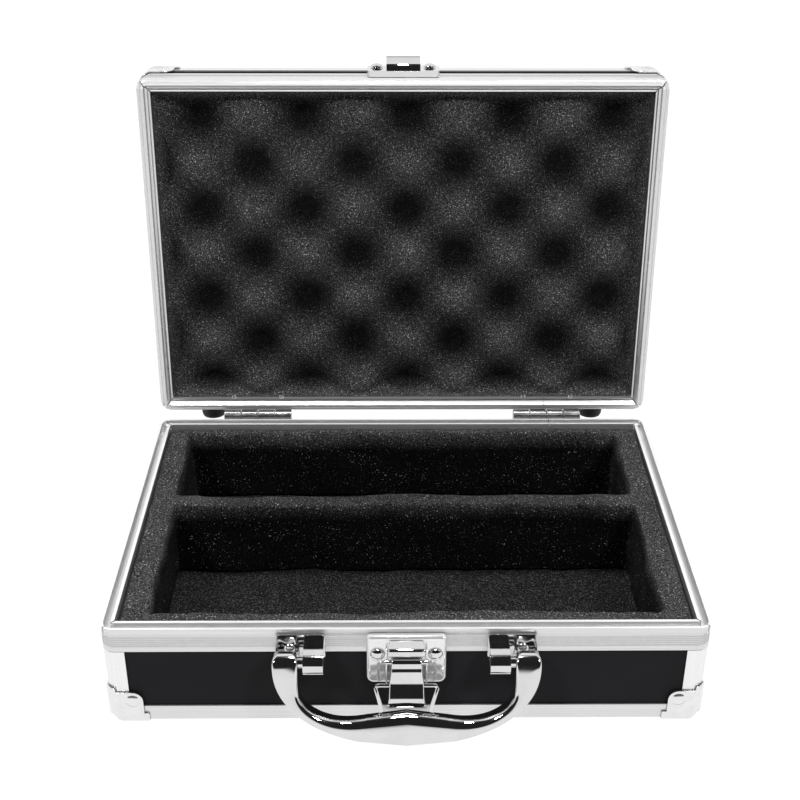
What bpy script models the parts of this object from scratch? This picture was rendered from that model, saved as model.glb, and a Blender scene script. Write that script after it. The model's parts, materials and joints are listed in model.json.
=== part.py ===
"""Small aluminium tool case with foam inserts, standing open.

Two shells of black panels in bent aluminium frames are hinged along the rear.
The lid stands a little past upright. A chrome carrying handle and a chrome draw
latch are on the front, and the keeper of the latch is on the lid.

Lengths are metres. +Z is up and the front faces -Y. Everything is drawn about the
middle of the base, with the lid closed; the lid is then turned by its hinge, and the
whole case is moved so that the origin lies on the table under the middle of its box.
"""

import math

import bmesh
import bpy
from mathutils import Matrix, Vector

# Driving sizes of the case
CASE_WIDTH = 0.260
CASE_DEPTH = 0.177
BASE_TOP = 0.0507
LID_HEIGHT = 0.028
LID_OPEN = math.radians(95)
HINGE_SETBACK = 0.0035

# Clearances: between touching pieces, between the closed rims, and past every cut
FIT = 0.0003
RIM_GAP = 0.0003
OVERRUN = 0.002

HALF_WIDTH = CASE_WIDTH / 2
HALF_DEPTH = CASE_DEPTH / 2
HINGE_Y = HALF_DEPTH + HINGE_SETBACK
HINGE_Z = BASE_TOP + RIM_GAP / 2
LID_RIM = BASE_TOP + RIM_GAP

# Sheet and panel thicknesses
FRAME_WALL = 0.0007
PANEL_THICKNESS = 0.003
END_PANEL_THICKNESS = 0.0025
PANEL_INSET = FRAME_WALL + FIT
PANEL_INNER = PANEL_INSET + PANEL_THICKNESS

# Corner shape shared by the end frames, the posts and the ball corners
CORNER_RADIUS = 0.0055
EDGE_RADIUS = 0.0005
CORNER_EDGE_RADIUS = 0.0042
BALL_WALL = 0.0005
BALL_PROUD = BALL_WALL + FIT
BASE_HEIGHT = BASE_TOP - BALL_PROUD

SMOOTH_ANGLE = math.radians(35)


def clear_scene():
    for item in list(bpy.data.objects):
        bpy.data.objects.remove(item, do_unlink=True)


def make_material(name, colour, roughness, metallic):
    material = bpy.data.materials.new(name)
    material.use_nodes = True
    shader = material.node_tree.nodes["Principled BSDF"]
    shader.inputs["Base Color"].default_value = (*colour, 1)
    shader.inputs["Roughness"].default_value = roughness
    shader.inputs["Metallic"].default_value = metallic
    material.diffuse_color = (*colour, 1)
    return material


def add_object(name, form, material, parent=None):
    """Turn a bmesh, drawn where the closed case has it, into a scene object."""
    bmesh.ops.recalc_face_normals(form, faces=form.faces)
    if form.calc_volume(signed=True) < 0:
        bmesh.ops.reverse_faces(form, faces=form.faces)
    mesh = bpy.data.meshes.new(name)
    form.to_mesh(mesh)
    form.free()
    if material:
        mesh.materials.append(material)
    mesh.shade_smooth()
    mesh.set_sharp_from_angle(angle=SMOOTH_ANGLE)
    item = bpy.data.objects.new(name, mesh)
    bpy.context.scene.collection.objects.link(item)
    if parent:
        item.parent = parent
        item.matrix_parent_inverse = Matrix.Translation(-parent.location)
    return item


def add_pivot(name, location, angle, parent=None):
    """An empty on a joint's axis; its children are drawn as if it were not turned."""
    pivot = bpy.data.objects.new(name, None)
    pivot.location = location
    pivot.rotation_euler.x = angle
    bpy.context.scene.collection.objects.link(pivot)
    if parent:
        pivot.parent = parent
        pivot.matrix_parent_inverse = Matrix.Translation(-parent.location)
    return pivot


def combine(item, form, operation, label):
    """Cut or join one more form with a live Boolean, kept as a wire guide."""
    tool = add_object(item.name + "_" + label, form, None, item.parent)
    tool.hide_render = True
    tool.display_type = "WIRE"
    modifier = item.modifiers.new(label, "BOOLEAN")
    modifier.operation = operation
    modifier.object = tool


def cut(item, form, label):
    combine(item, form, "DIFFERENCE", label)


def join(item, form, label):
    combine(item, form, "UNION", label)


def keep(item, form, label):
    combine(item, form, "INTERSECT", label)


def loft(rings, closed=False):
    """Skin rings of equal point count; an open loft is capped at both ends."""
    form = bmesh.new()
    rows = [[form.verts.new(point) for point in ring] for ring in rings]
    pairs = list(zip(rows, rows[1:]))
    if closed:
        pairs.append((rows[-1], rows[0]))
    for row, following in pairs:
        for i in range(len(row)):
            j = (i + 1) % len(row)
            form.faces.new((row[i], row[j], following[j], following[i]))
    if not closed:
        form.faces.new(rows[0])
        form.faces.new(reversed(rows[-1]))
    return form


def merged(forms):
    """Put several closed forms that do not touch into one bmesh."""
    result = bmesh.new()
    for form in forms:
        mesh = bpy.data.meshes.new("merged")
        form.to_mesh(mesh)
        form.free()
        result.from_mesh(mesh)
        bpy.data.meshes.remove(mesh)
    return result


def place_in_plane(axis, first, second, along):
    """Outlines are (y, z) for axis X, (x, z) for axis Y and (x, y) for axis Z."""
    if axis == "X":
        return Vector((along, first, second))
    if axis == "Y":
        return Vector((first, along, second))
    return Vector((first, second, along))


def prism(outline, axis, low, high):
    rings = [[place_in_plane(axis, a, b, along) for a, b in outline] for along in (low, high)]
    return loft(rings)


def block(x_range, y_range, z_range):
    (x0, x1), (y0, y1) = x_range, y_range
    return prism([(x0, y0), (x1, y0), (x1, y1), (x0, y1)], "Z", *z_range)


def arc(centre, radius, start, end, steps):
    """Points on an arc from start to end, angles in degrees."""
    points = []
    for step in range(steps + 1):
        angle = math.radians(start + (end - start) * step / steps)
        points.append((centre[0] + radius * math.cos(angle), centre[1] + radius * math.sin(angle)))
    return points


def rounded(corners, radii, steps=3):
    """Outline with each corner rounded by its own radius; zero keeps it sharp."""
    outline = []
    count = len(corners)
    for i, radius in enumerate(radii):
        corner = Vector(corners[i])
        if radius == 0:
            outline.append(tuple(corner))
            continue
        before = (Vector(corners[i - 1]) - corner).normalized()
        after = (Vector(corners[(i + 1) % count]) - corner).normalized()
        half_angle = before.angle(after) / 2
        centre = corner + (before + after).normalized() * radius / math.sin(half_angle)
        reach = radius / math.tan(half_angle)
        start = corner + before * reach - centre
        end = corner + after * reach - centre
        for step in range(steps + 1):
            blend = step / steps
            swing = start.lerp(end, blend).normalized()
            outline.append(tuple(centre + swing * radius))
    return outline


def rectangle(x0, y0, x1, y1, radius, steps=3):
    corners = [(x0, y0), (x1, y0), (x1, y1), (x0, y1)]
    return rounded(corners, [radius] * 4, steps)


def rod(axis, centre, radius, low, high, sides=16):
    """Cylinder along an axis through a point given in the outline plane."""
    outline = arc(centre, radius, 0, 360, sides)[:-1]
    return prism(outline, axis, low, high)


def turned(profile, axis, centre, sides=16):
    """Solid of revolution: profile holds (radius, position along the axis)."""
    rings = []
    for radius, along in profile:
        circle = arc(centre, radius, 0, 360, sides)[:-1]
        rings.append([place_in_plane(axis, a, b, along) for a, b in circle])
    return loft(rings)


def dome_profile(radius, height, seat, outward, tip_share=0.18, steps=3):
    """Flattened rivet head as a turned profile that starts on its seat."""
    profile = [(radius, seat)]
    for step in range(1, steps + 1):
        swing = math.radians(90) * step / steps
        ring = max(math.cos(swing), tip_share)
        profile.append((radius * ring, seat + outward * height * math.sin(swing)))
    return profile


# The two shells are both drawn by depth from their rim plane

RIM_HEIGHT = 0.012
RIM_CORNER_RADIUS = 0.0052
INNER_CORNER_RADIUS = 0.0004
RIM_WIDTH = 0.0058
OUTER_LIP = 0.0012
INNER_LIP = 0.0014
CHANNEL_DEPTH = 0.0028
RIM_WEB = 0.0018
RIM_INNER_HEIGHT = 0.009
GROOVE_COUNT = 5
GROOVE_PITCH = 0.00104
GROOVE_DEPTH = 0.00035
GROOVE_LAND = 0.00024
GROOVE_START = 0.0042
RIM_CORNER_STEPS = 3

LID_RIM_WIDTH = 0.0065
TONGUE_CLEARANCE = 0.0004
TONGUE_HEIGHT = 0.0016
TONGUE_ROUND = 0.0006
LID_SLOT_WIDTH = 0.0008
LID_SLOT_DEPTH = 0.002
LID_INNER_LIP = 0.0007

SLIT_WIDTH = 0.0003
SLIT_DEPTH = 0.0034
SLIT_OUTER_WALL = 0.0014
BASE_SEAM_INSET = 0.051
LID_SEAM_INSET = 0.054

END_FRAME_HEIGHT = 0.0076
END_FLANGE = 0.0085
END_CORNER_STEPS = 4

POST_WIDTH = 0.0098
POST_INSET = 0.0001
POST_WALL = 0.0006

BASE_SLOT = CHANNEL_DEPTH + RIM_WEB
PANEL_START = BASE_SLOT + FIT


class Shell:
    """One half of the case: where its rim lies and which way it deepens."""

    def __init__(self, name, rim_z, direction, height, parent):
        self.name = name
        self.rim_z = rim_z
        self.direction = direction
        self.height = height
        self.parent = parent

    def level(self, depth):
        return self.rim_z + self.direction * depth

    def levels(self, depth, deeper):
        return sorted((self.level(depth), self.level(deeper)))

    @property
    def panel_end(self):
        return self.height - FRAME_WALL - FIT - END_PANEL_THICKNESS - FIT


def framed(shell, section, radius, steps):
    """Run a section of (inset, depth) points round the case with rounded corners."""
    rings = []
    for sign_x, sign_y, start in ((1, 1, 0), (-1, 1, 90), (-1, -1, 180), (1, -1, 270)):
        for step in range(steps + 1):
            share = step / steps
            angle = math.radians(start + 90 * share)
            ring = []
            for inset, depth in section(share):
                turn = max(radius - inset, INNER_CORNER_RADIUS)
                x = sign_x * (HALF_WIDTH - inset - turn) + turn * math.cos(angle)
                y = sign_y * (HALF_DEPTH - inset - turn) + turn * math.sin(angle)
                ring.append((x, y, shell.level(depth)))
            rings.append(ring)
    return loft(rings, closed=True)


def rim_outer_face():
    """Outer face from the rim plane down, with fine V grooves across its middle."""
    points = [(0, 0)]
    for groove in range(GROOVE_COUNT):
        top = GROOVE_START + groove * GROOVE_PITCH
        bottom = top + GROOVE_PITCH - GROOVE_LAND
        points += [(0, top), (GROOVE_DEPTH, (top + bottom) / 2), (0, bottom)]
    points += [(0, RIM_HEIGHT), (FRAME_WALL, RIM_HEIGHT)]
    return points


def panel_pocket(inner_width):
    """The slot under the web that takes the panel's edge, then the inner wall."""
    pocket = PANEL_INNER + FIT
    return [
        (FRAME_WALL, BASE_SLOT),
        (pocket, BASE_SLOT),
        (pocket, RIM_INNER_HEIGHT),
        (inner_width, RIM_INNER_HEIGHT),
    ]


def base_rim_section(share):
    return rim_outer_face() + panel_pocket(RIM_WIDTH) + [
        (RIM_WIDTH, 0),
        (RIM_WIDTH - INNER_LIP, 0),
        (RIM_WIDTH - INNER_LIP, CHANNEL_DEPTH),
        (OUTER_LIP, CHANNEL_DEPTH),
        (OUTER_LIP, 0),
    ]


def lid_rim_section(share):
    tongue_start = OUTER_LIP + TONGUE_CLEARANCE
    tongue_end = RIM_WIDTH - INNER_LIP - TONGUE_CLEARANCE
    slot_end = LID_RIM_WIDTH - LID_INNER_LIP
    slot_start = slot_end - LID_SLOT_WIDTH
    return rim_outer_face() + panel_pocket(LID_RIM_WIDTH) + [
        (LID_RIM_WIDTH, 0),
        (slot_end, 0),
        (slot_end, LID_SLOT_DEPTH),
        (slot_start, LID_SLOT_DEPTH),
        (slot_start, 0),
        (tongue_end, 0),
        (tongue_end, TONGUE_ROUND - TONGUE_HEIGHT),
        (tongue_end - TONGUE_ROUND, -TONGUE_HEIGHT),
        (tongue_start + TONGUE_ROUND, -TONGUE_HEIGHT),
        (tongue_start, TONGUE_ROUND - TONGUE_HEIGHT),
        (tongue_start, 0),
    ]


def corner_edge_radius(share):
    """The end edge of the case is nearly sharp, and softens into each corner."""
    bulge = math.sin(math.pi * share) ** 2
    return EDGE_RADIUS + (CORNER_EDGE_RADIUS - EDGE_RADIUS) * bulge


def end_frame_section(height):
    """Angle section that folds in under the end panel, as a function of the turn."""

    def section(share):
        edge = corner_edge_radius(share)
        inner = max(edge - FRAME_WALL, INNER_CORNER_RADIUS)
        centre = (edge, height - edge)
        inner_centre = (FRAME_WALL + inner, height - FRAME_WALL - inner)
        points = [(0, height - END_FRAME_HEIGHT)]
        points += arc(centre, edge, 180, 90, 3)
        points += [(END_FLANGE, height), (END_FLANGE, height - FRAME_WALL)]
        points += arc(inner_centre, inner, 90, 180, 3)
        points += [(FRAME_WALL, height - END_FRAME_HEIGHT)]
        return points

    return section


def mitre_slits(shell):
    """Thin saw cuts across the rim at the four bends, open to the inside."""
    forms = []
    reach = LID_RIM_WIDTH + OVERRUN
    half = SLIT_WIDTH / math.sqrt(2)
    for sign_x in (-1, 1):
        for sign_y in (-1, 1):
            outline = []
            for inset, side in ((SLIT_OUTER_WALL, 1), (reach, 1), (reach, -1), (SLIT_OUTER_WALL, -1)):
                x = sign_x * (HALF_WIDTH - inset - side * half)
                y = sign_y * (HALF_DEPTH - inset + side * half)
                outline.append((x, y))
            forms.append(prism(outline, "Z", *shell.levels(-OVERRUN, SLIT_DEPTH)))
    return merged(forms)


def rim_seam(shell, x):
    """Where the two ends of the bent extrusion butt in the rear run."""
    half = SLIT_WIDTH / 2
    inner = HALF_DEPTH - LID_RIM_WIDTH - OVERRUN
    outer = HALF_DEPTH + OVERRUN
    return block((x - half, x + half), (inner, outer), shell.levels(-OVERRUN, RIM_HEIGHT + OVERRUN))


def build_frames(shell, rim_section, seam_x, metal):
    rim = add_object(
        shell.name + "_rim_frame",
        framed(shell, rim_section, RIM_CORNER_RADIUS, RIM_CORNER_STEPS),
        metal,
        shell.parent,
    )
    cut(rim, mitre_slits(shell), "mitre_slits")
    cut(rim, rim_seam(shell, seam_x), "seam")
    end_name = "_bottom_frame" if shell.name == "base" else "_top_frame"
    add_object(
        shell.name + end_name,
        framed(shell, end_frame_section(shell.height), CORNER_RADIUS, END_CORNER_STEPS),
        metal,
        shell.parent,
    )


def build_posts(shell, metal):
    """Rounded angle posts between the rim frame and the end frame."""
    inner_radius = CORNER_RADIUS - POST_WALL
    centre = POST_INSET + CORNER_RADIUS
    outer = arc((centre, centre), CORNER_RADIUS, 270, 180, 5)
    inner = arc((centre, centre), inner_radius, 180, 270, 5)
    outline = [(POST_WIDTH, POST_INSET)] + outer + [(POST_INSET, POST_WIDTH)]
    outline += [(POST_INSET + POST_WALL, POST_WIDTH)] + inner + [(POST_WIDTH, POST_INSET + POST_WALL)]
    levels = shell.levels(RIM_HEIGHT + FIT, shell.height - END_FRAME_HEIGHT - FIT)
    for end, sign_y in (("front", -1), ("rear", 1)):
        for side, sign_x in (("left", -1), ("right", 1)):
            placed = [(sign_x * (HALF_WIDTH - p), sign_y * (HALF_DEPTH - q)) for p, q in outline]
            name = shell.name + "_corner_post_" + end + "_" + side
            add_object(name, prism(placed, "Z", *levels), metal, shell.parent)


PANEL_CORNER_RADIUS = POST_INSET + CORNER_RADIUS - PANEL_INSET
END_PANEL_CHAMFER = 0.006


def build_panels(shell, black):
    """Four wall panels held by the rim, and the end panel held by the flange."""
    centre_x = HALF_WIDTH - POST_INSET - CORNER_RADIUS
    centre_y = HALF_DEPTH - POST_INSET - CORNER_RADIUS
    inner_y = HALF_DEPTH - PANEL_INNER
    side_y = inner_y - FIT
    levels = shell.levels(PANEL_START, shell.panel_end)

    end_angle = math.degrees(math.asin((inner_y - centre_y) / PANEL_CORNER_RADIUS))
    half = arc((centre_x, centre_y), PANEL_CORNER_RADIUS, end_angle, 90, 4)
    outline = half + [(-x, y) for x, y in reversed(half)]
    for end, sign_y in (("front", -1), ("rear", 1)):
        placed = [(x, sign_y * y) for x, y in outline]
        name = shell.name + "_" + end + "_panel"
        add_object(name, prism(placed, "Z", *levels), black, shell.parent)

    outer_x = HALF_WIDTH - PANEL_INSET
    inner_x = HALF_WIDTH - PANEL_INNER
    nose_x = centre_x + math.sqrt(PANEL_CORNER_RADIUS ** 2 - (side_y - centre_y) ** 2)
    half = [(outer_x, centre_y), (nose_x, side_y), (inner_x, side_y)]
    outline = half + [(x, -y) for x, y in reversed(half)]
    for side, sign_x in (("left", -1), ("right", 1)):
        placed = [(sign_x * x, y) for x, y in outline]
        name = shell.name + "_" + side + "_panel"
        add_object(name, prism(placed, "Z", *levels), black, shell.parent)

    x, y = HALF_WIDTH - PANEL_INSET, HALF_DEPTH - PANEL_INSET
    slant = END_PANEL_CHAMFER
    quarter = [(x, y - slant), (x - slant, y)]
    outline = quarter + [(-a, b) for a, b in reversed(quarter)]
    outline += [(-a, -b) for a, b in quarter] + [(a, -b) for a, b in reversed(quarter)]
    name = "base_bottom_panel" if shell.name == "base" else "lid_top_panel"
    levels = shell.levels(shell.panel_end + FIT, shell.height - FRAME_WALL - FIT)
    add_object(name, prism(outline, "Z", *levels), black, shell.parent)


# Ball corners, drawn once from the case's own corner: distances run inward from its faces

BALL_EDGE_REACH = 0.0177
BALL_STEP = 0.0040
BALL_STEP_ROUND = 0.0008
BALL_RIVET = 0.0111
BALL_LOBE_RADIUS = 0.0045
BALL_RIVET_RADIUS = 0.0034
BALL_RIVET_HEIGHT = 0.0011
RIVET_SINK = 0.0002


def corner_block(offset, reach):
    """The case's corner grown by an offset, as a solid that reaches inward."""
    centre = CORNER_RADIUS
    turns = [step / 6 for step in range(7)]

    def ring(depth_at, inset_at):
        points = [(inset_at(0), reach, depth_at(0))]
        for turn in turns:
            angle = math.radians(90) * turn
            arm = CORNER_RADIUS - inset_at(turn)
            points.append(
                (centre - arm * math.cos(angle), centre - arm * math.sin(angle), depth_at(turn))
            )
        points.append((reach, inset_at(1), depth_at(1)))
        points.append((reach, reach, depth_at(0)))
        return points

    rings = [ring(lambda turn: reach, lambda turn: -offset)]
    steps = 4
    for step in range(steps + 1):
        swing = math.radians(90) * step / steps

        def inset_at(turn, swing=swing):
            edge = corner_edge_radius(turn)
            return edge - (edge + offset) * math.cos(swing)

        def depth_at(turn, swing=swing):
            edge = corner_edge_radius(turn)
            return edge - (edge + offset) * math.sin(swing)

        level = ring(depth_at, inset_at)
        last = level[-1]
        level[-1] = (last[0], last[1], depth_at(0))
        rings.append(level)
    return loft(rings)


def lobe_outline():
    """One face of a ball corner: a round lobe about its rivet and a low step each way."""
    lobe = BALL_RIVET + BALL_LOBE_RADIUS
    out = -BALL_PROUD - OVERRUN
    foot = [(BALL_EDGE_REACH, out), (BALL_EDGE_REACH, BALL_STEP), (lobe, BALL_STEP)]
    half = rounded(foot + [(lobe, BALL_RIVET)], [0, BALL_STEP_ROUND, 0, 0], 2)
    curve = arc((BALL_RIVET, BALL_RIVET), BALL_LOBE_RADIUS, 0, 90, 5)[1:-1]
    return [(out, out)] + half + curve + [(b, a) for a, b in reversed(half)]


def finished(item):
    """The mesh of an object with its modifiers, as a new bmesh."""
    depsgraph = bpy.context.evaluated_depsgraph_get()
    form = bmesh.new()
    form.from_object(item, depsgraph)
    return form


def draw_ball_corner():
    reach = BALL_EDGE_REACH + OVERRUN
    corner = add_object("ball_corner_pattern", corner_block(BALL_PROUD, reach), None)
    outline = lobe_outline()
    span = (-BALL_PROUD - OVERRUN, reach + OVERRUN)
    for axis in ("X", "Y", "Z"):
        keep(corner, prism(outline, axis, *span), "lobe_" + axis)
    cut(corner, corner_block(FIT, reach + OVERRUN), "inside")
    for axis in ("X", "Y"):
        head = dome_profile(BALL_RIVET_RADIUS, BALL_RIVET_HEIGHT, RIVET_SINK - BALL_PROUD, -1)
        join(corner, turned(head, axis, (BALL_RIVET, BALL_RIVET), 14), "rivet_" + axis)
    form = finished(corner)
    for item in [corner] + [modifier.object for modifier in corner.modifiers]:
        bpy.data.objects.remove(item, do_unlink=True)
    return form


def build_ball_corners(shell, pattern, metal):
    for end, sign_y in (("front", -1), ("rear", 1)):
        for side, sign_x in (("left", -1), ("right", 1)):
            form = pattern.copy()
            for vert in form.verts:
                p, q, depth = vert.co
                x = sign_x * (HALF_WIDTH - p)
                y = sign_y * (HALF_DEPTH - q)
                vert.co = (x, y, shell.level(shell.height - depth))
            name = shell.name + "_ball_corner_" + end + "_" + side
            add_object(name, form, metal, shell.parent)


# Foam

FOAM_SIDE_GAP = 0.0003
FLOOR_FOAM_THICKNESS = 0.0034
FOAM_TOP = 0.047
FOAM_SIDE_WALL = 0.0117
FOAM_FRONT_WALL = 0.0094
FOAM_REAR_WALL = 0.0026
FOAM_DIVIDER = 0.0094
FRONT_POCKET_DEPTH = 0.0813
POCKET_CORNER = 0.0025
FOAM_CORNER = 0.003
FOAM_EDGE_ROUND = 0.0012
CRATE_PITCH_X = 0.0518
CRATE_PITCH_Y = 0.0483
CRATE_PEAK = 0.003
CRATE_VALLEY = 0.0145
CRATE_CELL = 0.0065
CRATE_COLUMN = 0.0020
CRATE_ROW = 0.0045


def foam_outer():
    inset = RIM_WIDTH + FOAM_SIDE_GAP
    return HALF_WIDTH - inset, HALF_DEPTH - inset


def pocket_spans():
    """Front and rear compartments as (y low, y high), the front one first."""
    x, y = foam_outer()
    front = -y + FOAM_FRONT_WALL
    divider = front + FRONT_POCKET_DEPTH
    return (front, divider), (divider + FOAM_DIVIDER, y - FOAM_REAR_WALL)


def build_base_foam(shell, foam):
    x, y = foam_outer()
    floor_low = shell.level(shell.panel_end) + FIT
    floor_high = floor_low + FLOOR_FOAM_THICKNESS
    outline = rectangle(-x, -y, x, y, FOAM_CORNER)
    add_object("base_foam_floor", prism(outline, "Z", floor_low, floor_high), foam)
    insert = add_object("base_foam_insert", prism(outline, "Z", floor_high + FIT, FOAM_TOP), foam)
    pocket_x = x - FOAM_SIDE_WALL
    for label, (low, high) in zip(("front_pocket", "rear_pocket"), pocket_spans()):
        pocket = rectangle(-pocket_x, low, pocket_x, high, POCKET_CORNER)
        cut(insert, prism(pocket, "Z", floor_low, FOAM_TOP + OVERRUN), label)
    soften = insert.modifiers.new("soft_edges", "BEVEL")
    soften.width = FOAM_EDGE_ROUND
    soften.segments = 2
    soften.limit_method = "ANGLE"
    soften.angle_limit = math.radians(60)


def crate_depth(x, y):
    """Depth of the egg-crate surface below the rim plane, peaks in staggered rows."""
    wave = math.cos(2 * math.pi * (x - CRATE_COLUMN) / CRATE_PITCH_X)
    wave *= math.cos(2 * math.pi * (y - CRATE_ROW) / CRATE_PITCH_Y)
    return (CRATE_PEAK + CRATE_VALLEY) / 2 - (CRATE_VALLEY - CRATE_PEAK) / 2 * wave


def build_lid_foam(shell, foam):
    inset = LID_RIM_WIDTH + FOAM_SIDE_GAP
    x, y = HALF_WIDTH - inset, HALF_DEPTH - inset
    across = round(2 * x / CRATE_CELL)
    along = round(2 * y / CRATE_CELL)
    form = bmesh.new()
    grid = []
    for j in range(along + 1):
        at_y = -y + 2 * y * j / along
        row = []
        for i in range(across + 1):
            at_x = -x + 2 * x * i / across
            row.append(form.verts.new((at_x, at_y, shell.level(crate_depth(at_x, at_y)))))
        grid.append(row)
    for j in range(along):
        for i in range(across):
            form.faces.new((grid[j][i], grid[j][i + 1], grid[j + 1][i + 1], grid[j + 1][i]))
    border = grid[0][:-1] + [row[-1] for row in grid[:-1]]
    border += grid[-1][:0:-1] + [row[0] for row in grid[:0:-1]]
    back = shell.level(shell.panel_end)
    below = [form.verts.new((vert.co.x, vert.co.y, back)) for vert in border]
    for i in range(len(border)):
        j = (i + 1) % len(border)
        form.faces.new((border[i], border[j], below[j], below[i]))
    form.faces.new(below)
    add_object("lid_foam", form, foam, shell.parent)


# Hinges: sheet leaves rolled round a pin, with a tail on the lid leaf as the stop

HINGE_INSET = 0.052
HINGE_LENGTH = 0.036
LEAF_THICKNESS = 0.0011
LEAF_HEIGHT = 0.0120
KNUCKLE_COUNT = 4
KNUCKLE_GAP = 0.0004
KNUCKLE_RADIUS = HINGE_SETBACK - FIT
HINGE_PIN_RADIUS = KNUCKLE_RADIUS - LEAF_THICKNESS - FIT
HINGE_RIVET_RADIUS = 0.0024
HINGE_RIVET_HEIGHT = 0.0009
STOP_LENGTH = 0.0050
STOP_ROOT = 0.0023
CURL_END = -115


def leaf_outline(direction):
    """Flat leaf on the rear face that rolls over the pin; -1 hangs down, 1 stands up."""
    centre = (HINGE_Y, HINGE_Z)
    inner = KNUCKLE_RADIUS - LEAF_THICKNESS
    curl = arc(centre, KNUCKLE_RADIUS, 180, CURL_END, 14)
    curl += arc(centre, inner, CURL_END, 180, 14)
    far = HINGE_Z - LEAF_HEIGHT
    face = HINGE_Y - KNUCKLE_RADIUS
    outline = [(face, far)] + curl + [(face + LEAF_THICKNESS, far)]
    if direction > 0:
        outline = [(y, 2 * HINGE_Z - z) for y, z in outline]
    return outline


def knuckle_spans(centre_x, kept):
    """Spans of the knuckles whose number is even (kept 0) or odd (kept 1)."""
    width = (HINGE_LENGTH - (KNUCKLE_COUNT - 1) * KNUCKLE_GAP) / KNUCKLE_COUNT
    start = centre_x - HINGE_LENGTH / 2
    spans = []
    for number in range(KNUCKLE_COUNT):
        if number % 2 == kept:
            low = start + number * (width + KNUCKLE_GAP)
            spans.append((low, low + width))
    return spans


def build_leaf(name, centre_x, direction, kept, metal, parent):
    half = HINGE_LENGTH / 2
    leaf = add_object(
        name, prism(leaf_outline(direction), "X", centre_x - half, centre_x + half), metal, parent
    )
    room = KNUCKLE_RADIUS + KNUCKLE_GAP
    y_range = (HINGE_Y - room - OVERRUN, HINGE_Y + room + OVERRUN)
    z_range = (HINGE_Z - room, HINGE_Z + room)
    notches = []
    for low, high in knuckle_spans(centre_x, 1 - kept):
        low_cut = low - KNUCKLE_GAP if low > centre_x - half else low - OVERRUN
        high_cut = high + KNUCKLE_GAP if high < centre_x + half - KNUCKLE_GAP else high + OVERRUN
        notches.append(block((low_cut, high_cut), y_range, z_range))
    cut(leaf, merged(notches), "notches")
    seat = HINGE_Y - KNUCKLE_RADIUS + LEAF_THICKNESS - RIVET_SINK
    rivet_z = HINGE_Z + direction * (LEAF_HEIGHT + room) / 2
    heads = []
    for share in (-1, 0, 1):
        x = centre_x + share * HINGE_LENGTH / 3
        head = dome_profile(HINGE_RIVET_RADIUS, HINGE_RIVET_HEIGHT + RIVET_SINK, seat, 1)
        heads.append(turned(head, "Y", (x, rivet_z), 12))
    join(leaf, merged(heads), "rivets")
    return leaf


def stop_tail(span):
    """Tail that lies on the base leaf when the lid is open, drawn with the lid closed."""
    low = LEAF_THICKNESS + FIT - KNUCKLE_RADIUS
    open_outline = [
        (low, -STOP_ROOT),
        (low, -STOP_LENGTH),
        (low + LEAF_THICKNESS, -STOP_LENGTH),
        (low + LEAF_THICKNESS, -STOP_ROOT),
    ]
    turn = Matrix.Rotation(LID_OPEN, 2)
    centre = Vector((HINGE_Y, HINGE_Z))
    outline = [tuple(centre + turn @ Vector(point)) for point in open_outline]
    return prism(outline, "X", *span)


def build_hinges(lid, metal):
    for side, sign_x in (("left", -1), ("right", 1)):
        centre_x = sign_x * (HALF_WIDTH - HINGE_INSET)
        build_leaf("hinge_base_leaf_" + side, centre_x, -1, 0, metal, None)
        leaf = build_leaf("hinge_lid_leaf_" + side, centre_x, 1, 1, metal, lid.parent)
        join(leaf, stop_tail(knuckle_spans(centre_x, 1)[0]), "stop")
        half = HINGE_LENGTH / 2
        pin = rod("X", (HINGE_Y, HINGE_Z), HINGE_PIN_RADIUS, centre_x - half, centre_x + half)
        add_object("hinge_pin_" + side, pin, metal)


FOOT_INSET = 0.0255
FOOT_ROOT_RADIUS = 0.00725
FOOT_TIP_RADIUS = 0.0064
FOOT_HEIGHT = 0.0048
FOOT_EDGE = 0.0006
BASE_FOOT_DEPTH = 0.026
LID_FOOT_DEPTH = 0.0185


def build_feet(shell, depth, inset, rubber):
    """Base feet stand on the recessed panel, lid feet on the frames, all equally far out."""
    tip = HALF_DEPTH + FOOT_HEIGHT
    profile = [
        (FOOT_ROOT_RADIUS, HALF_DEPTH - inset + FIT),
        (FOOT_TIP_RADIUS, tip - FOOT_EDGE),
        (FOOT_TIP_RADIUS - FOOT_EDGE, tip),
    ]
    for side, sign_x in (("left", -1), ("right", 1)):
        centre = (sign_x * (HALF_WIDTH - FOOT_INSET), shell.level(depth))
        form = turned(profile, "Y", centre, 20)
        add_object(shell.name + "_foot_" + side, form, rubber, shell.parent)


# Everything on the front face is drawn by how far it stands off that face


def off_face(distance):
    return -HALF_DEPTH - distance


def front_outline(points):
    """(distance off the front face, z) points as a (y, z) outline."""
    return [(off_face(distance), z) for distance, z in points]


PLATE_SHEET = 0.0012
PLATE_OFF = 0.0031
LATCH_HALF_WIDTH = 0.017
LATCH_LOW = 0.0213
LATCH_TOP = 0.0487
LATCH_LOW_CORNER = 0.003
LATCH_TOP_CORNER = 0.0012
LATCH_RIVET_X = 0.0123
LATCH_RIVET_Z = 0.0397
RIVET_HEAD_RADIUS = 0.0032
RIVET_HEAD_HEIGHT = 0.0017
RIVET_SHANK_RADIUS = 0.0015

LEVER_PIN_OFF = 0.007
LEVER_PIN_Z = 0.0386
LEVER_PIN_RADIUS = 0.001
LEVER_HALF_WIDTH = 0.00785
LEVER_FLANGE = 0.001
LEVER_SKIN = 0.0008
LEVER_ROLL_RADIUS = 0.0036
EAR_THICKNESS = 0.0007
EAR_RADIUS = 0.0023
HOOD_HALF_WIDTH = 0.00785
HOOD_TOP_OFF = 0.0050
HOOD_FRONT_OFF = 0.0089
HOOD_TOP = 0.0482
HOOD_FRONT = 0.0470
HOOD_ROLL_GAP = 0.0004

BAIL_OFF = 0.010
BAIL_Z = 0.0285
WIRE_RADIUS = 0.00095
WIRE_CLEARANCE = 0.00035


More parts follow.
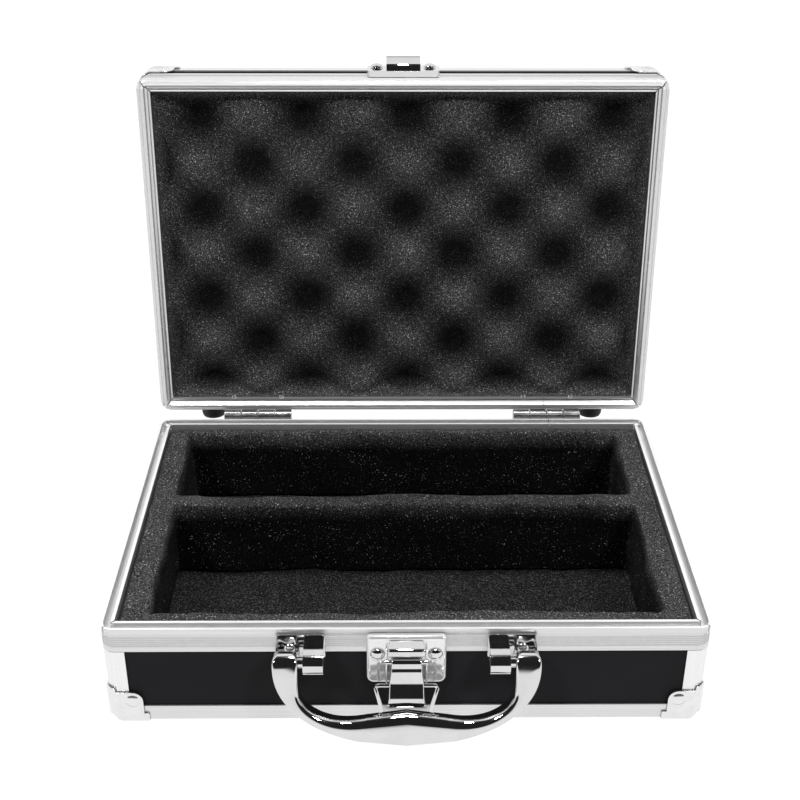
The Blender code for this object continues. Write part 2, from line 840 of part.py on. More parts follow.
def tray(x_range, z_range, corner_radii, off):
    """A pressed plate: flat face with a flange turned back to the case all round."""
    (x0, x1), (z0, z1) = x_range, z_range
    corners = [(x0, z0), (x1, z0), (x1, z1), (x0, z1)]
    outline = rounded(corners, corner_radii)
    inside = [
        (x0 + PLATE_SHEET, z0 + PLATE_SHEET),
        (x1 - PLATE_SHEET, z0 + PLATE_SHEET),
        (x1 - PLATE_SHEET, z1 - PLATE_SHEET),
        (x0 + PLATE_SHEET, z1 - PLATE_SHEET),
    ]
    shell_form = prism(outline, "Y", off_face(off), off_face(FIT))
    hollow = prism(inside, "Y", off_face(off - PLATE_SHEET), off_face(-OVERRUN))
    return shell_form, hollow


def rivet_holes(places, off):
    radius = RIVET_SHANK_RADIUS + FIT
    holes = [rod("Y", place, radius, off_face(off + OVERRUN), off_face(0), 12) for place in places]
    return merged(holes)


def build_rivets(names, places, off, metal, parent=None):
    seat = off_face(off + FIT)
    for name, place in zip(names, places):
        head = dome_profile(RIVET_HEAD_RADIUS, RIVET_HEAD_HEIGHT, seat, -1, steps=4)
        profile = [(RIVET_SHANK_RADIUS, off_face(FIT)), (RIVET_SHANK_RADIUS, seat)] + head
        add_object(name, turned(profile, "Y", place, 16), metal, parent)


def build_latch_plate(chrome):
    face, hollow = tray(
        (-LATCH_HALF_WIDTH, LATCH_HALF_WIDTH),
        (LATCH_LOW, LATCH_TOP),
        [LATCH_LOW_CORNER, LATCH_LOW_CORNER, LATCH_TOP_CORNER, LATCH_TOP_CORNER],
        PLATE_OFF,
    )
    plate = add_object("latch_plate", face, chrome)
    cut(plate, hollow, "hollow")

    root = PLATE_OFF - RIVET_SINK
    hood_low = LEVER_PIN_Z + LEVER_ROLL_RADIUS + HOOD_ROLL_GAP
    hood = front_outline([
        (root, HOOD_TOP),
        (HOOD_TOP_OFF, HOOD_TOP),
        (HOOD_FRONT_OFF - PLATE_SHEET / 2, HOOD_FRONT),
        (HOOD_FRONT_OFF, HOOD_FRONT - PLATE_SHEET),
        (HOOD_FRONT_OFF, hood_low),
        (root, hood_low),
    ])
    join(plate, prism(hood, "X", -HOOD_HALF_WIDTH, HOOD_HALF_WIDTH), "hood")

    pivot = (off_face(LEVER_PIN_OFF), LEVER_PIN_Z)
    nose = arc(pivot, EAR_RADIUS, 90, 270, 8)
    spread = EAR_RADIUS + EAR_THICKNESS
    ear = [(off_face(root), LEVER_PIN_Z + spread)] + nose + [(off_face(root), LEVER_PIN_Z - spread)]
    ear_low = LEVER_HALF_WIDTH + FIT
    ear_high = ear_low + EAR_THICKNESS
    join(plate, prism(ear, "X", ear_low, ear_high), "ear_right")
    join(plate, prism(ear, "X", -ear_high, -ear_low), "ear_left")
    reach = ear_high + OVERRUN
    cut(plate, rod("X", pivot, LEVER_PIN_RADIUS + FIT, -reach, reach, 12), "pin_bore")

    places = [(-LATCH_RIVET_X, LATCH_RIVET_Z), (LATCH_RIVET_X, LATCH_RIVET_Z)]
    cut(plate, rivet_holes(places, PLATE_OFF), "rivet_holes")
    build_rivets(("latch_rivet_left", "latch_rivet_right"), places, PLATE_OFF, chrome)
    pin_end = ear_high + FIT
    add_object("latch_pin", rod("X", pivot, LEVER_PIN_RADIUS, -pin_end, pin_end, 14), chrome)


# Lever outline, as (distance off the face, z), from the roll down the front to the lip
LEVER_FRONT = [(0.0114, 0.0340), (0.0122, 0.0285), (0.0127, 0.0240)]
LEVER_LIP = [(0.0141, 0.0204), (0.0130, 0.0202)]
LEVER_BACK = [(0.0113, 0.0232), (0.0076, 0.0255), (0.0071, 0.0300), (0.0050, 0.0345)]
LEVER_HOLLOW_TOP = 0.0345
LEVER_HOLLOW_LOW = 0.0235


def build_latch_lever(parent, chrome):
    pivot = (off_face(LEVER_PIN_OFF), LEVER_PIN_Z)
    roll = arc(pivot, LEVER_ROLL_RADIUS, 0, 180, 10)
    outline = roll + front_outline(LEVER_FRONT + LEVER_LIP + LEVER_BACK)
    half = LEVER_HALF_WIDTH
    lever = add_object("latch_lever", prism(outline, "X", -half, half), chrome, parent)

    skin = [(distance - LEVER_SKIN, z) for distance, z in LEVER_FRONT]
    hollow = [(PLATE_OFF, LEVER_HOLLOW_TOP), (skin[0][0], LEVER_HOLLOW_TOP)] + skin
    hollow += [(skin[-1][0], LEVER_HOLLOW_LOW), (PLATE_OFF, LEVER_HOLLOW_LOW)]
    inner = half - LEVER_FLANGE
    cut(lever, prism(front_outline(hollow), "X", -inner, inner), "hollow")

    reach = half + OVERRUN
    cut(lever, rod("X", pivot, LEVER_PIN_RADIUS + FIT, -reach, reach, 12), "pin_bore")
    bail = (off_face(BAIL_OFF), BAIL_Z)
    cut(lever, rod("X", bail, WIRE_RADIUS + WIRE_CLEARANCE, -reach, reach, 12), "bail_bore")


BAIL_TOP_HALF = 0.0134
BAIL_BAR_HALF = 0.0094
BAIL_LENGTH = 0.0258
BAIL_LEAN = math.radians(14)
BAIL_BEND = 0.0018


def wire_loop(points, normal, radius, sides):
    """Closed tube along planar points."""
    rings = []
    count = len(points)
    for i, point in enumerate(points):
        along = (points[(i + 1) % count] - points[i - 1]).normalized()
        side = along.cross(normal).normalized()
        ring = []
        for step in range(sides):
            angle = 2 * math.pi * step / sides
            ring.append(point + (side * math.cos(angle) + normal * math.sin(angle)) * radius)
        rings.append(ring)
    return loft(rings, closed=True)


def build_latch_bail(parent, chrome):
    corners = [
        (-BAIL_TOP_HALF, 0),
        (BAIL_TOP_HALF, 0),
        (BAIL_BAR_HALF, -BAIL_LENGTH),
        (-BAIL_BAR_HALF, -BAIL_LENGTH),
    ]
    outline = rounded(corners, [BAIL_BEND] * 4, 4)
    down = Vector((0, -math.sin(BAIL_LEAN), math.cos(BAIL_LEAN)))
    normal = Vector((0, -math.cos(BAIL_LEAN), -math.sin(BAIL_LEAN)))
    root = Vector((0, off_face(BAIL_OFF), BAIL_Z))
    across = Vector((1, 0, 0))
    points = [root + across * x + down * along for x, along in outline]
    add_object("latch_bail", wire_loop(points, normal, WIRE_RADIUS, 8), chrome, parent)


# Keeper on the lid: heights run up from the closed rim of the lid

KEEPER_HALF_WIDTH = 0.0176
KEEPER_LOW = 0.0006
KEEPER_HEIGHT = 0.0154
KEEPER_OFF = 0.0032
KEEPER_CORNER = 0.0022
KEEPER_RIVET_X = 0.013
KEEPER_RIVET_HEIGHT = 0.0105
HOOK_HALF_WIDTH = 0.00825
HOOK_OFF = 0.0064
HOOK_SHEET = 0.0011
HOOK_LOW = 0.001
HOOK_TOP = 0.008
HOOK_LIP_OFF = 0.0085
HOOK_LIP_TOP = 0.011
HOOK_ROUND = 0.0010


def build_keeper(lid, chrome):
    low = lid.level(KEEPER_LOW)
    high = lid.level(KEEPER_LOW + KEEPER_HEIGHT)
    face, hollow = tray(
        (-KEEPER_HALF_WIDTH, KEEPER_HALF_WIDTH), (low, high), [KEEPER_CORNER] * 4, KEEPER_OFF
    )
    keeper = add_object("keeper", face, chrome, lid.parent)
    cut(keeper, hollow, "hollow")
    root = KEEPER_OFF - RIVET_SINK
    hook = [
        (root, HOOK_LOW),
        (HOOK_OFF - HOOK_ROUND, HOOK_LOW),
        (HOOK_OFF, HOOK_LOW + HOOK_ROUND),
        (HOOK_OFF, HOOK_TOP),
        (HOOK_LIP_OFF, HOOK_LIP_TOP),
        (HOOK_LIP_OFF - HOOK_SHEET, HOOK_LIP_TOP + HOOK_SHEET / 2),
        (HOOK_OFF - HOOK_SHEET, HOOK_TOP + HOOK_SHEET / 2),
        (HOOK_OFF - HOOK_SHEET, HOOK_LOW + HOOK_SHEET + HOOK_ROUND / 2),
        (HOOK_OFF - HOOK_SHEET - HOOK_ROUND / 2, HOOK_LOW + HOOK_SHEET),
        (root, HOOK_LOW + HOOK_SHEET),
    ]
    outline = front_outline([(off, lid.level(height)) for off, height in hook])
    join(keeper, prism(outline, "X", -HOOK_HALF_WIDTH, HOOK_HALF_WIDTH), "hook")
    rivet_z = lid.level(KEEPER_RIVET_HEIGHT)
    places = [(-KEEPER_RIVET_X, rivet_z), (KEEPER_RIVET_X, rivet_z)]
    cut(keeper, rivet_holes(places, KEEPER_OFF), "rivet_holes")
    names = ("keeper_rivet_left", "keeper_rivet_right")
    build_rivets(names, places, KEEPER_OFF, chrome, lid.parent)


# Handle and its brackets

HANDLE_PIN_OFF = 0.0081
HANDLE_PIN_Z = 0.0395
HANDLE_TILT = math.radians(20)
HANDLE_PIN_RADIUS = 0.0024
BRACKET_INNER_X = 0.0345
BRACKET_OUTER_X = 0.0555
BRACKET_LOW = 0.0362
BRACKET_TOP = 0.0487
BRACKET_CORNER = 0.0015
BRACKET_SHEET = 0.0012
KNUCKLE_INNER_X = 0.0350
KNUCKLE_OUTER_X = 0.0435
BRACKET_KNUCKLE_RADIUS = 0.0051
BRACKET_RIVET_X = 0.0495
BRACKET_RIVET_Z = 0.0415

ARM_INNER_X = 0.0456
ARM_OUTER_X = 0.0566
ARM_RADIUS = 0.0048
GRIP_REACH = 0.0355
GRIP_INNER_REACH = 0.02285
GRIP_WAVE = 0.00165
GRIP_WAVE_LENGTH = 0.056
ARM_EDGE_RADIUS = 0.0009
GRIP_EDGE_RADIUS = 0.0045
OUTER_EDGE = 0.0012
PIN_COVER = 0.0026
OUTER_POWER = 2.15
INNER_POWER = 5

# Where the sections of half the handle lie, as shares of its half width
SECTION_SHARES = (1, 0.995, 0.985, 0.96, 0.92, 0.86, 0.78, 0.68, 0.58, 0.48, 0.38, 0.28, 0.18, 0.09)
ARM_END_SHARES = (0.985, 0.86, 0.62, 0.32)


def build_bracket(side, sign_x, chrome):
    def spanned(first, second):
        return sorted((sign_x * first, sign_x * second))

    x_low, x_high = spanned(BRACKET_INNER_X, BRACKET_OUTER_X)
    outline = rectangle(x_low, BRACKET_LOW, x_high, BRACKET_TOP, BRACKET_CORNER)
    sheet = prism(outline, "Y", off_face(FIT + BRACKET_SHEET), off_face(FIT))
    bracket = add_object("handle_bracket_" + side, sheet, chrome)
    axis_point = (off_face(HANDLE_PIN_OFF), HANDLE_PIN_Z)
    root = off_face(FIT + BRACKET_SHEET - RIVET_SINK)
    nose = arc(axis_point, BRACKET_KNUCKLE_RADIUS, 90, 270, 10)
    knuckle = [(root, HANDLE_PIN_Z + BRACKET_KNUCKLE_RADIUS)] + nose + [(root, BRACKET_LOW)]
    join(bracket, prism(knuckle, "X", *spanned(KNUCKLE_INNER_X, KNUCKLE_OUTER_X)), "knuckle")
    bore = spanned(KNUCKLE_INNER_X - OVERRUN, KNUCKLE_OUTER_X + OVERRUN)
    cut(bracket, rod("X", axis_point, HANDLE_PIN_RADIUS + FIT, *bore), "bore")
    head = dome_profile(HINGE_RIVET_RADIUS, HINGE_RIVET_HEIGHT + RIVET_SINK, root, -1)
    join(bracket, turned(head, "Y", (sign_x * BRACKET_RIVET_X, BRACKET_RIVET_Z), 12), "rivet")
    pin = spanned(KNUCKLE_INNER_X, ARM_OUTER_X - PIN_COVER)
    add_object("handle_pin_" + side, rod("X", axis_point, HANDLE_PIN_RADIUS, *pin), chrome)


def grip_inner_reach(x):
    """The finger side of the grip: a hump in the middle and a hollow at each side."""
    return GRIP_INNER_REACH - GRIP_WAVE * math.cos(2 * math.pi * x / GRIP_WAVE_LENGTH)


def superellipse(share, power):
    return (1 - share ** power) ** (1 / power)


def handle_section(inner, outer, half_thickness, inner_radius):
    """Closed section from the finger side to the outer edge, at (x, down, out) points."""
    start, end = Vector(inner), Vector(outer)
    width = (end - start).length
    direction = (end - start).normalized()
    radius = min(inner_radius, width - 2 * OUTER_EDGE, half_thickness - OUTER_EDGE / 4)
    edge = min(OUTER_EDGE, half_thickness / 2)
    ring = []
    for across, out in arc((radius, half_thickness - radius), radius, 90, 180, 3):
        ring.append((across, out))
    for across, out in arc((radius, radius - half_thickness), radius, 180, 270, 3):
        ring.append((across, out))
    ring += [(width - edge, -half_thickness), (width, edge - half_thickness)]
    ring += [(width, half_thickness - edge), (width - edge, half_thickness)]
    points = []
    for across, out in ring:
        at = start + direction * across
        points.append((at.x, off_face(HANDLE_PIN_OFF + out), HANDLE_PIN_Z - at.y))
    return points


def handle_half():
    """Sections of the right half, from the pivot end to just beside the middle."""
    sections = []
    for share in ARM_END_SHARES:
        rise = ARM_RADIUS * share
        half_thickness = ARM_RADIUS * math.sqrt(1 - share ** 2)
        radius = min(ARM_EDGE_RADIUS, half_thickness / 2)
        ends = (ARM_INNER_X, -rise), (ARM_OUTER_X, -rise)
        sections.append(handle_section(*ends, half_thickness, radius))
    for share in SECTION_SHARES:
        inner_x = ARM_INNER_X * share
        inner = (inner_x, grip_inner_reach(inner_x) * superellipse(share, INNER_POWER))
        outer = (ARM_OUTER_X * share, GRIP_REACH * superellipse(share, OUTER_POWER))
        blend = min(inner[1] / GRIP_INNER_REACH, 1)
        radius = ARM_EDGE_RADIUS + (GRIP_EDGE_RADIUS - ARM_EDGE_RADIUS) * blend
        sections.append(handle_section(inner, outer, ARM_RADIUS, radius))
    return sections


def build_handle(parent, chrome):
    right = handle_half()
    middle = handle_section((0, grip_inner_reach(0)), (0, GRIP_REACH), ARM_RADIUS, GRIP_EDGE_RADIUS)
    left = [[(-x, y, z) for x, y, z in section] for section in reversed(right)]
    handle = add_object("handle", loft(right + [middle] + left), chrome, parent)
    axis_point = (off_face(HANDLE_PIN_OFF), HANDLE_PIN_Z)
    deep = ARM_OUTER_X - PIN_COVER + FIT
    bores = []
    for sign_x in (-1, 1):
        span = sorted((sign_x * (ARM_INNER_X - OVERRUN), sign_x * deep))
        bores.append(rod("X", axis_point, HANDLE_PIN_RADIUS + FIT, *span))
    cut(handle, merged(bores), "pin_bores")


def centre_over_origin():
    """Hang everything from one empty that puts the middle of the case over the origin."""
    bpy.context.view_layer.update()
    depsgraph = bpy.context.evaluated_depsgraph_get()
    depths = []
    for item in bpy.data.objects:
        if item.type == "MESH" and not item.hide_render:
            solid = item.evaluated_get(depsgraph)
            depths += [(solid.matrix_world @ vertex.co).y for vertex in solid.data.vertices]
    loose = [item for item in bpy.data.objects if item.parent is None]
    middle = (min(depths) + max(depths)) / 2
    root = add_pivot("case", Vector((0, -middle, 0)), 0)
    for item in loose:
        item.parent = root
    print("The case was moved by", -middle)


def build_case():
    clear_scene()
    satin = make_material("satin aluminium", (0.80, 0.80, 0.80), 0.32, 1.0)
    black = make_material("black laminate", (0.020, 0.021, 0.023), 0.45, 0.0)
    bright = make_material("bright corner steel", (0.84, 0.84, 0.83), 0.22, 1.0)
    chrome = make_material("chrome", (0.90, 0.90, 0.91), 0.08, 1.0)
    foam = make_material("dark foam", (0.035, 0.035, 0.037), 0.95, 0.0)
    rubber = make_material("black rubber", (0.018, 0.018, 0.018), 0.75, 0.0)

    lid_pivot = add_pivot("lid_hinge_axis", Vector((0, HINGE_Y, HINGE_Z)), -LID_OPEN)
    base = Shell("base", BASE_TOP, -1, BASE_HEIGHT, None)
    lid = Shell("lid", LID_RIM, 1, LID_HEIGHT, lid_pivot)

    build_frames(base, base_rim_section, HALF_WIDTH - BASE_SEAM_INSET, satin)
    build_frames(lid, lid_rim_section, HALF_WIDTH - LID_SEAM_INSET, satin)
    pattern = draw_ball_corner()
    for shell in (base, lid):
        build_panels(shell, black)
        build_posts(shell, satin)
        build_ball_corners(shell, pattern, bright)
    pattern.free()
    build_base_foam(base, foam)
    build_lid_foam(lid, foam)
    build_hinges(lid, bright)
    build_feet(base, BASE_FOOT_DEPTH, PANEL_INSET, rubber)
    build_feet(lid, LID_FOOT_DEPTH, 0, rubber)

    build_latch_plate(chrome)
    lever_at = Vector((0, off_face(LEVER_PIN_OFF), LEVER_PIN_Z))
    lever_pivot = add_pivot("latch_lever_axis", lever_at, 0)
    build_latch_lever(lever_pivot, chrome)
    bail_at = Vector((0, off_face(BAIL_OFF), BAIL_Z))
    bail_pivot = add_pivot("latch_bail_axis", bail_at, 0, lever_pivot)
    build_latch_bail(bail_pivot, chrome)
    build_keeper(lid, chrome)

    for side, sign_x in (("left", -1), ("right", 1)):
        build_bracket(side, sign_x, chrome)
    handle_at = Vector((0, off_face(HANDLE_PIN_OFF), HANDLE_PIN_Z))
    handle_pivot = add_pivot("handle_axis", handle_at, -HANDLE_TILT)
    build_handle(handle_pivot, chrome)
    centre_over_origin()


build_case()
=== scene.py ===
import json
import math

import bmesh
import bpy
from mathutils import Matrix, Vector, noise

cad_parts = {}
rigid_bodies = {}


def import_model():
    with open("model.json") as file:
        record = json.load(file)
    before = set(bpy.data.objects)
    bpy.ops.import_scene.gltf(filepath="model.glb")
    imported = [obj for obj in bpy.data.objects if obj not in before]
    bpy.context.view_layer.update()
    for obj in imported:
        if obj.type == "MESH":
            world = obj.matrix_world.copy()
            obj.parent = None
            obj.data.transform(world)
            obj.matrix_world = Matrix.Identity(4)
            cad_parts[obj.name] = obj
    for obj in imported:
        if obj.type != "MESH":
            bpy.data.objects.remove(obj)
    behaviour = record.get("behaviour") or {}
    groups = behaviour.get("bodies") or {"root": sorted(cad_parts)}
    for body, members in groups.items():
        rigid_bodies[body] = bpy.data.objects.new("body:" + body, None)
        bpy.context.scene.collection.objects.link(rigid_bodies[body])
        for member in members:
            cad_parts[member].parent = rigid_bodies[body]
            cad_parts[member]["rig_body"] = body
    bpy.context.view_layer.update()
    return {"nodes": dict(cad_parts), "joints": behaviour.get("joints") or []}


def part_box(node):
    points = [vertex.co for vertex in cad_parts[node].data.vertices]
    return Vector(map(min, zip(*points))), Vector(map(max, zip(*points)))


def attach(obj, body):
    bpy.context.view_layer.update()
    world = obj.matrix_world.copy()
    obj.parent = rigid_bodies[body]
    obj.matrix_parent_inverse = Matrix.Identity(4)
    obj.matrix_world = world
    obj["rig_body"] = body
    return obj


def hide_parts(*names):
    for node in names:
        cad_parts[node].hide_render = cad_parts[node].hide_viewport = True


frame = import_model()
nodes = frame["nodes"]
mm = 0.001
noise.seed_set(2)  # without a seed the vector noise differs from run to run
print("frame loaded")

# pieces are drawn in mm about the middle of the base, which lies in front of the frame's origin
rimLow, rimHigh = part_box("base_rim_frame")
middle = Vector((0, (rimLow.y + rimHigh.y) / 2, 0))
caseFront = -88.5  # the front face

photoCamera = {
    "place": (-7.4, -522.8, 404.1),  # mm from the middle of the base
    "focalPixels": 1308.1, "imagePixels": 800,
    "pitch": 29.206, "yaw": 0.568, "roll": 0.195,  # degrees
    "sensor": 36, "near": 0.05, "far": 60,
}


def makeCamera():
    pitch, yaw, roll = (math.radians(photoCamera[key]) for key in ("pitch", "yaw", "roll"))
    forward = Vector((math.sin(yaw) * math.cos(pitch), math.cos(yaw) * math.cos(pitch), -math.sin(pitch)))
    level = Vector((math.cos(yaw), -math.sin(yaw), 0))
    upward = level.cross(forward)
    right = math.cos(roll) * level + math.sin(roll) * upward
    top = math.cos(roll) * upward - math.sin(roll) * level
    lens = bpy.data.cameras.new("photoCamera")
    lens.sensor_width = photoCamera["sensor"]
    lens.lens = photoCamera["focalPixels"] / photoCamera["imagePixels"] * lens.sensor_width
    lens.clip_start, lens.clip_end = photoCamera["near"], photoCamera["far"]
    camera = bpy.data.objects.new("photoCamera", lens)
    bpy.context.scene.collection.objects.link(camera)
    turn = Matrix((right, top, -forward)).transposed().to_4x4()
    camera.matrix_world = Matrix.Translation(Vector(photoCamera["place"]) * mm + middle) @ turn
    bpy.context.scene.camera = camera


studio = {
    "floorReach": 8, "floorDrop": 0.0002,  # m
    "floorShade": 0.03, "floorRoughness": 0.9, "floorGloss": 0.1, "floorGlow": 1.0,
    "bright": 1.0, "dim": 0.02,
    # parts of the room, each between two values of a unit direction
    "behind": (-0.05, 0.2), "overhead": (0.9, 0.99),
    "beside": (0.8, 0.95), "besideHeight": (0.25, 0.5), "besideGlow": 0.8,
    "horizon": (0.02, 0.07),
    "softboxSide": 0.22,
    "softboxes": {  # place, aim and power
        "overheadSoftbox": ((0, 0.05, 1.6), (0, 0.02, 0.05), 13),
        "leftSoftbox": ((-0.75, -0.9, 1.25), (0, 0.05, 0.12), 11),
        "rightSoftbox": ((0.7, -0.9, 1.25), (0, 0.05, 0.12), 11),
    },
}


def addSoftbox(name, place, aim, power):
    light = bpy.data.lights.new(name, "AREA")
    light.shape = "RECTANGLE"
    light.size = light.size_y = studio["softboxSide"]
    light.energy = power
    lamp = bpy.data.objects.new(name, light)
    bpy.context.scene.collection.objects.link(lamp)
    lamp.location = place
    lamp.rotation_mode = "QUATERNION"
    lamp.rotation_quaternion = (Vector(aim) - Vector(place)).to_track_quat("-Z", "Y")


def spread(tree, value, low, high, toLow=0.0, toHigh=1.0, eased=False):
    # maps a value from one range to another
    node = tree.nodes.new("ShaderNodeMapRange")
    if eased:
        node.interpolation_type = "SMOOTHSTEP"
    for socket, number in (("From Min", low), ("From Max", high), ("To Min", toLow), ("To Max", toHigh)):
        node.inputs[socket].default_value = number
    tree.links.new(value, node.inputs["Value"])
    return node.outputs["Result"]


def reckon(tree, operation, first, second=0):
    node = tree.nodes.new("ShaderNodeMath")
    node.operation = operation
    for socket, value in zip(node.inputs, (first, second)):
        if isinstance(value, (int, float)):
            socket.default_value = value
        else:
            tree.links.new(value, socket)
    return node.outputs[0]


def makeFloor():
    form = bmesh.new()
    bmesh.ops.create_grid(form, x_segments=1, y_segments=1, size=studio["floorReach"])
    bmesh.ops.translate(form, verts=form.verts, vec=(0, 0, -studio["floorDrop"]))
    mesh = bpy.data.meshes.new("whiteFloor")
    form.to_mesh(mesh)
    form.free()
    floor = bpy.data.objects.new("whiteFloor", mesh)
    bpy.context.scene.collection.objects.link(floor)
    paper = bpy.data.materials.new("whitePaper")
    paper.use_nodes = True
    shader = paper.node_tree.nodes["Principled BSDF"]
    shade = studio["floorShade"]
    shader.inputs["Base Color"].default_value = (shade, shade, shade, 1)
    shader.inputs["Roughness"].default_value = studio["floorRoughness"]
    shader.inputs["Specular IOR Level"].default_value = studio["floorGloss"]
    shader.inputs["Emission Color"].default_value = (1, 1, 1, 1)
    shader.inputs["Emission Strength"].default_value = studio["floorGlow"]
    mesh.materials.append(paper)


def makeRoom():
    # a white sweep behind and a dim room in front and overhead, which the chrome mirrors
    world = bpy.data.worlds.new("studioRoom")
    bpy.context.scene.world = world
    world.use_nodes = True
    tree = world.node_tree
    background = tree.nodes["Background"]
    coordinates = tree.nodes.new("ShaderNodeTexCoord")
    split = tree.nodes.new("ShaderNodeSeparateXYZ")
    tree.links.new(coordinates.outputs["Generated"], split.inputs[0])
    sideways = reckon(tree, "ABSOLUTE", split.outputs["X"])
    depth, height = split.outputs["Y"], split.outputs["Z"]
    behind = spread(tree, depth, *studio["behind"], eased=True)
    notOverhead = spread(tree, height, *studio["overhead"], 1, 0, eased=True)
    beside = spread(tree, sideways, *studio["beside"], eased=True)
    notHigh = spread(tree, height, *studio["besideHeight"], studio["besideGlow"], 0, eased=True)
    horizon = spread(tree, height, *studio["horizon"], 1, 0, eased=True)
    sweep = reckon(tree, "MULTIPLY", behind, notOverhead)
    sides = reckon(tree, "MULTIPLY", beside, notHigh)
    lit = reckon(tree, "MAXIMUM", reckon(tree, "MAXIMUM", sweep, sides), horizon)
    strength = spread(tree, lit, 0, 1, studio["dim"], studio["bright"])
    tree.links.new(strength, background.inputs["Strength"])
    background.inputs["Color"].default_value = (1, 1, 1, 1)
    for name, (place, aim, power) in studio["softboxes"].items():
        addSoftbox(name, place, aim, power)
    # a plain transform keeps the white sweep white
    bpy.context.scene.view_settings.view_transform = "Standard"


makeCamera()
makeFloor()
makeRoom()
print("camera and studio ready")

noiseBand = (0.3, 0.7)  # the part of a noise's range in which nearly all of it lies


def startFinish(name, look):
    material = bpy.data.materials.new(name)
    material.use_nodes = True
    tree = material.node_tree
    shader = tree.nodes["Principled BSDF"]
    coordinates = tree.nodes.new("ShaderNodeTexCoord")
    mapping = tree.nodes.new("ShaderNodeMapping")
    mapping.inputs["Scale"].default_value = look.get("stretch", (1, 1, 1))
    mapping.inputs["Rotation"].default_value = look.get("turn", (0, 0, 0))
    tree.links.new(coordinates.outputs["Object"], mapping.inputs["Vector"])
    return material, tree, shader, mapping.outputs["Vector"]


def addNoise(tree, place, scale, detail=2.0, rough=0.5):
    texture = tree.nodes.new("ShaderNodeTexNoise")
    texture.inputs["Scale"].default_value = scale
    texture.inputs["Detail"].default_value = detail
    texture.inputs["Roughness"].default_value = rough
    tree.links.new(place, texture.inputs["Vector"])
    return texture.outputs["Fac"]


def addShades(tree, shader, value, shades, blues=(1, 1)):
    # from the first shade to the second over a noise, with a little more blue where it is asked for
    ramp = tree.nodes.new("ShaderNodeValToRGB")
    for element, position, shade, blue in zip(ramp.color_ramp.elements, noiseBand, shades, blues):
        element.position = position
        element.color = (shade, shade, shade * blue, 1)
    tree.links.new(value, ramp.inputs["Fac"])
    tree.links.new(ramp.outputs["Color"], shader.inputs["Base Color"])


def addBump(tree, shader, height, strength, depth):
    bump = tree.nodes.new("ShaderNodeBump")
    bump.inputs["Strength"].default_value = strength
    bump.inputs["Distance"].default_value = depth * mm
    tree.links.new(height, bump.inputs["Height"])
    tree.links.new(bump.outputs["Normal"], shader.inputs["Normal"])


dieLine = 0.003  # streaks are drawn out by this factor along an extrusion
lidLean = math.radians(5)  # how far the open lid stands past upright
satin = {
    "scale": 2300, "shades": (0.64, 0.76), "roughness": (0.26, 0.34), "metallic": 0.8,
    "bump": 0.10, "depth": 0.03,
}
plated = {
    "scale": 300, "shades": (0.76, 0.82), "roughness": (0.16, 0.24), "metallic": 0.9,
    "bump": 0.02, "depth": 0.03,
}
polished = {"scale": 90, "shades": (0.66, 0.71), "roughness": (0.03, 0.07), "metallic": 1.0, "bump": 0}
rolled = {"scale": 300, "roughness": (0.30, 0.36), "bump": 0}
metalLooks = {
    "satinAcross": {**satin, "stretch": (dieLine, 1, 1)},
    "satinDeep": {**satin, "stretch": (1, dieLine, 1)},
    "satinUpright": {**satin, "stretch": (1, 1, dieLine), "turn": (lidLean, 0, 0)},
    "satinPost": {**satin, "stretch": (1, 1, dieLine), "shades": (0.82, 0.88)},
    "platedSteel": plated,
    "hingeSteel": {**plated, "shades": (0.36, 0.44), "roughness": (0.20, 0.28), "metallic": 1.0},
    "brightChrome": polished,
    "latchSteel": {**polished, "shades": (0.80, 0.84), "roughness": (0.08, 0.12), "metallic": 0.6},
    # a lighter material on the lips, a painted highlight, and a darker one on the groove slopes, a painted
    # shade, of the rim extrusions
    "paintedLipHighlight": {**rolled, "shades": (0.80, 0.84), "metallic": 0.4},
    "paintedGrooveShade": {**rolled, "shades": (0.52, 0.60), "metallic": 0.8},
}


def metalFinish(name, look):
    material, tree, shader, place = startFinish(name, look)
    shader.inputs["Metallic"].default_value = look["metallic"]
    streaks = addNoise(tree, place, look["scale"], detail=3, rough=0.6)
    addShades(tree, shader, streaks, look["shades"])
    matt = spread(tree, streaks, *noiseBand, *look["roughness"])
    tree.links.new(matt, shader.inputs["Roughness"])
    if look["bump"]:
        addBump(tree, shader, streaks, look["bump"], look["depth"])
    return material


laminate = {
    "shades": (0.0125, 0.0148), "blues": (1.1, 1.12), "cloud": 25,
    "pebble": 1500, "bump": 0.25, "depth": 0.08, "roughness": 0.6, "gloss": 0.05,
}


def laminateFinish():
    material, tree, shader, place = startFinish("blackLaminate", laminate)
    addShades(tree, shader, addNoise(tree, place, laminate["cloud"]), laminate["shades"], laminate["blues"])
    shader.inputs["Roughness"].default_value = laminate["roughness"]
    shader.inputs["Specular IOR Level"].default_value = laminate["gloss"]
    addBump(tree, shader, addNoise(tree, place, laminate["pebble"]), laminate["bump"], laminate["depth"])
    return material


rubber = {"shades": (0.012, 0.018), "grain": 900, "bump": 0.2, "depth": 0.05, "roughness": 0.7}


def rubberFinish():
    material, tree, shader, place = startFinish("blackRubber", rubber)
    grain = addNoise(tree, place, rubber["grain"])
    addShades(tree, shader, grain, rubber["shades"])
    shader.inputs["Roughness"].default_value = rubber["roughness"]
    addBump(tree, shader, grain, rubber["bump"], rubber["depth"])
    return material


